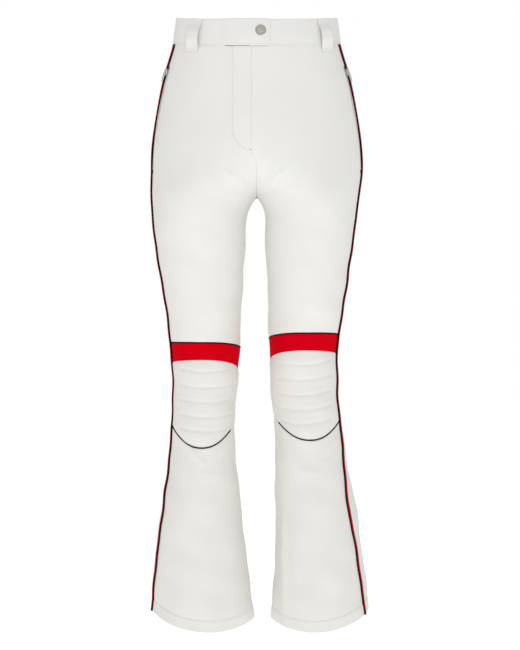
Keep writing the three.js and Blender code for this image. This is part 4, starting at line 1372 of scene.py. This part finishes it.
def sewLoop(name, degrees):
    at, seat = loopFrame(degrees)
    along = np.linspace(-1, 1, 80) * (loop["length"] / 2 - 2.5)
    for number, side in enumerate((-1, 1)):
        across = np.full_like(along, side * (loop["width"] / 2 - 2.6))
        sewLine(f"beltLoop-{name}-row{number}", loopShape(at, seat, across, along), onSeat)
    for number, end in enumerate((-1, 1)):
        across = np.linspace(-1, 1, 12) * (loop["width"] / 2 - 3.5)
        places = loopShape(at, seat + 0.1, across, np.full_like(across, end * (loop["length"] / 2 - 4.5)))
        sewLine(
            f"beltLoop-{name}-tack{number}", places, onSeat, pitch=stitch["tackPitch"],
            long=stitch["tackLong"],
        )


def sewFly():
    down = np.concatenate([np.linspace(-50, -200, 90), np.linspace(-201, -235.2, 60)])
    for number, inset in enumerate((1.4, 5.6)):
        angle = frontAngleAt("right", stitchX(down), down)
        shifted = shiftAngle("right", angle, down, inset)
        places = onCloth("right", shifted, down, 0.12)
        sewLine(f"flyStitch{number}", places, onSeat)
    angle = frontAngleAt("right", np.linspace(-17.5, -11, 8), -236)
    places = onCloth("right", angle, np.linspace(-237.2, -238.2, 8), 0.25)
    sewLine("flyTack", places, onSeat, pitch=stitch["tackPitch"], long=stitch["tackLong"])


def sewLeg(leg):
    for number, inset in enumerate((1.8, 7.0)):
        angleAt = backSideEdge(leg, inset)
        sewUpright(
            f"{leg}BackStitch{number}", leg, angleAt, -50, backSplit + 1, -0.02, lambda p: bendHip(p, leg),
        )
        sewUpright(
            f"{leg}BackLegStitch{number}", leg, angleAt, backSplit - 1, -1004, -0.02,
            lambda p: bendKnee(p, leg),
        )
    hemTop = lowered(hemLine, -hem["stitch"])
    front = float(frontLine(leg, frontSeamX)(np.array([-1000.0]))[0]) - 0.02
    side = float(fromStripe(leg, -1.0)(np.array([-1000.0]))[0])
    sewRound(f"{leg}HemStitch", leg, (front, side), hemTop, 0.0, lambda p: bendKnee(p, leg))
    back = float(backSideEdge(leg)(np.array([-1000.0]))[0]) - 0.02
    sewRound(f"{leg}BackHemStitch", leg, (back, -pi + 0.02), hemTop, 0.0, lambda p: bendKnee(p, leg))
    middle = lambda z: shiftAngle(leg, middleEdge(leg, -1)(z), z, -2.2)
    sewUpright(f"{leg}SeatStitch", leg, middle, -38, -300, -0.02, onSeat)
    slotEdge = lambda z: shiftAngle(leg, frontSideEdge(leg)(z), z, -2.0)
    sewUpright(f"{leg}PocketStitch", leg, slotEdge, -86, -270, -0.02, onSeat)
    for number, depth in enumerate((pocket["top"] - 3, pocket["bottom"] + 7)):
        first, last = (float(fromStripe(leg, side)(-depth)) for side in stitch["pocketTack"])
        angle = np.linspace(first, last, 12)
        places = onCloth(leg, angle, np.full_like(angle, -depth), 0.2)
        sewLine(
            f"{leg}PocketTack{number}", places, onSeat, pitch=stitch["tackPitch"], long=stitch["tackLong"],
        )


# The quilting runs along the bottom of each sewn channel
def sewQuilt(leg):
    low, high = quilt["zone"][leg]
    relief = padRelief(leg)
    x = np.linspace(low + 2, high - 2, 120)
    for number, zLow in enumerate(quilt["lines"][leg]):
        z = quiltLine(leg, zLow, x)
        angle = frontAngleAt(leg, x, z)
        flat = pointOn(leg, angle, z)
        away = {side: np.full_like(x, 18.0) for side in "LRTB"}
        out = relief(angle, z, flat, away) + 0.12
        places = flat + normalOn(leg, angle, z) * (out + hang(angle, flat))[:, None]
        sewLine(f"{leg}QuiltStitch{number}", places, lambda p: bendKnee(p, leg))


sewWaist()
for loopName, loopDegrees in loopAngles.items():
    sewLoop(loopName, loopDegrees)
sewFly()
for legName in ("left", "right"):
    sewLeg(legName)
    sewQuilt(legName)
print("stitching sewn")

# Floor, light and camera, in metres and watts

studio = {
    "floor": -1.25, "cameraFrom": (0.0054, -2.6, -0.5228), "lens": 84.7, "world": 0.545, "front": 28.0,
    "back": 12.0, "floorGlow": 0.52,
}


def buildStage():
    bm = bmesh.new()
    bmesh.ops.create_grid(bm, x_segments=1, y_segments=1, size=12)
    bmesh.ops.translate(bm, verts=bm.verts, vec=(0, 0, studio["floor"]))
    mesh = bpy.data.meshes.new("floor")
    bm.to_mesh(mesh)
    bm.free()
    floor = bpy.data.objects.new("floor", mesh)
    bpy.context.scene.collection.objects.link(floor)
    tree, shader = startMaterial("paleFloor")
    shader.inputs["Base Color"].default_value = (0.95, 0.95, 0.95, 1)
    shader.inputs["Roughness"].default_value = 0.9
    shader.inputs["Emission Color"].default_value = (1, 1, 1, 1)
    shader.inputs["Emission Strength"].default_value = studio["floorGlow"]
    mesh.materials.append(made["paleFloor"])


def areaLight(name, place, aim, size, power):
    data = bpy.data.lights.new(name, "AREA")
    data.shape, data.size, data.energy = "SQUARE", size, power
    light = bpy.data.objects.new(name, data)
    light.location = place
    light.rotation_euler = (Vector(aim) - Vector(place)).to_track_quat("-Z", "Y").to_euler()
    bpy.context.scene.collection.objects.link(light)


def buildWorld():
    world = bpy.data.worlds.new("studio")
    world.use_nodes = True
    bpy.context.scene.world = world
    tree = world.node_tree
    tree.nodes.clear()
    seen = addNode(tree, "ShaderNodeBackground", {"Color": (1, 1, 1, 1), "Strength": 1.0})
    lit = addNode(tree, "ShaderNodeBackground", {"Color": (1, 1, 1, 1), "Strength": studio["world"]})
    path = addNode(tree, "ShaderNodeLightPath")
    mix = addNode(
        tree, "ShaderNodeMixShader",
        {0: path.outputs["Is Camera Ray"], 1: lit.outputs[0], 2: seen.outputs[0]},
    )
    addNode(tree, "ShaderNodeOutputWorld", {"Surface": mix.outputs[0]})


def buildCamera():
    data = bpy.data.cameras.new("camera")
    data.lens, data.sensor_width, data.sensor_fit = studio["lens"], 36, "AUTO"
    camera = bpy.data.objects.new("camera", data)
    camera.location = studio["cameraFrom"]
    camera.rotation_euler = (pi / 2, 0, 0)
    bpy.context.scene.collection.objects.link(camera)
    bpy.context.scene.camera = camera


buildStage()
buildWorld()
areaLight("frontLight", (0.0, -3.4, 0.4), (0, 0, -0.52), 3.2, studio["front"])
areaLight("backLight", (0.0, 3.4, 0.4), (0, 0, -0.52), 3.2, studio["back"])
buildCamera()
bpy.context.scene.view_settings.view_transform = "Standard"
print("stage ready")
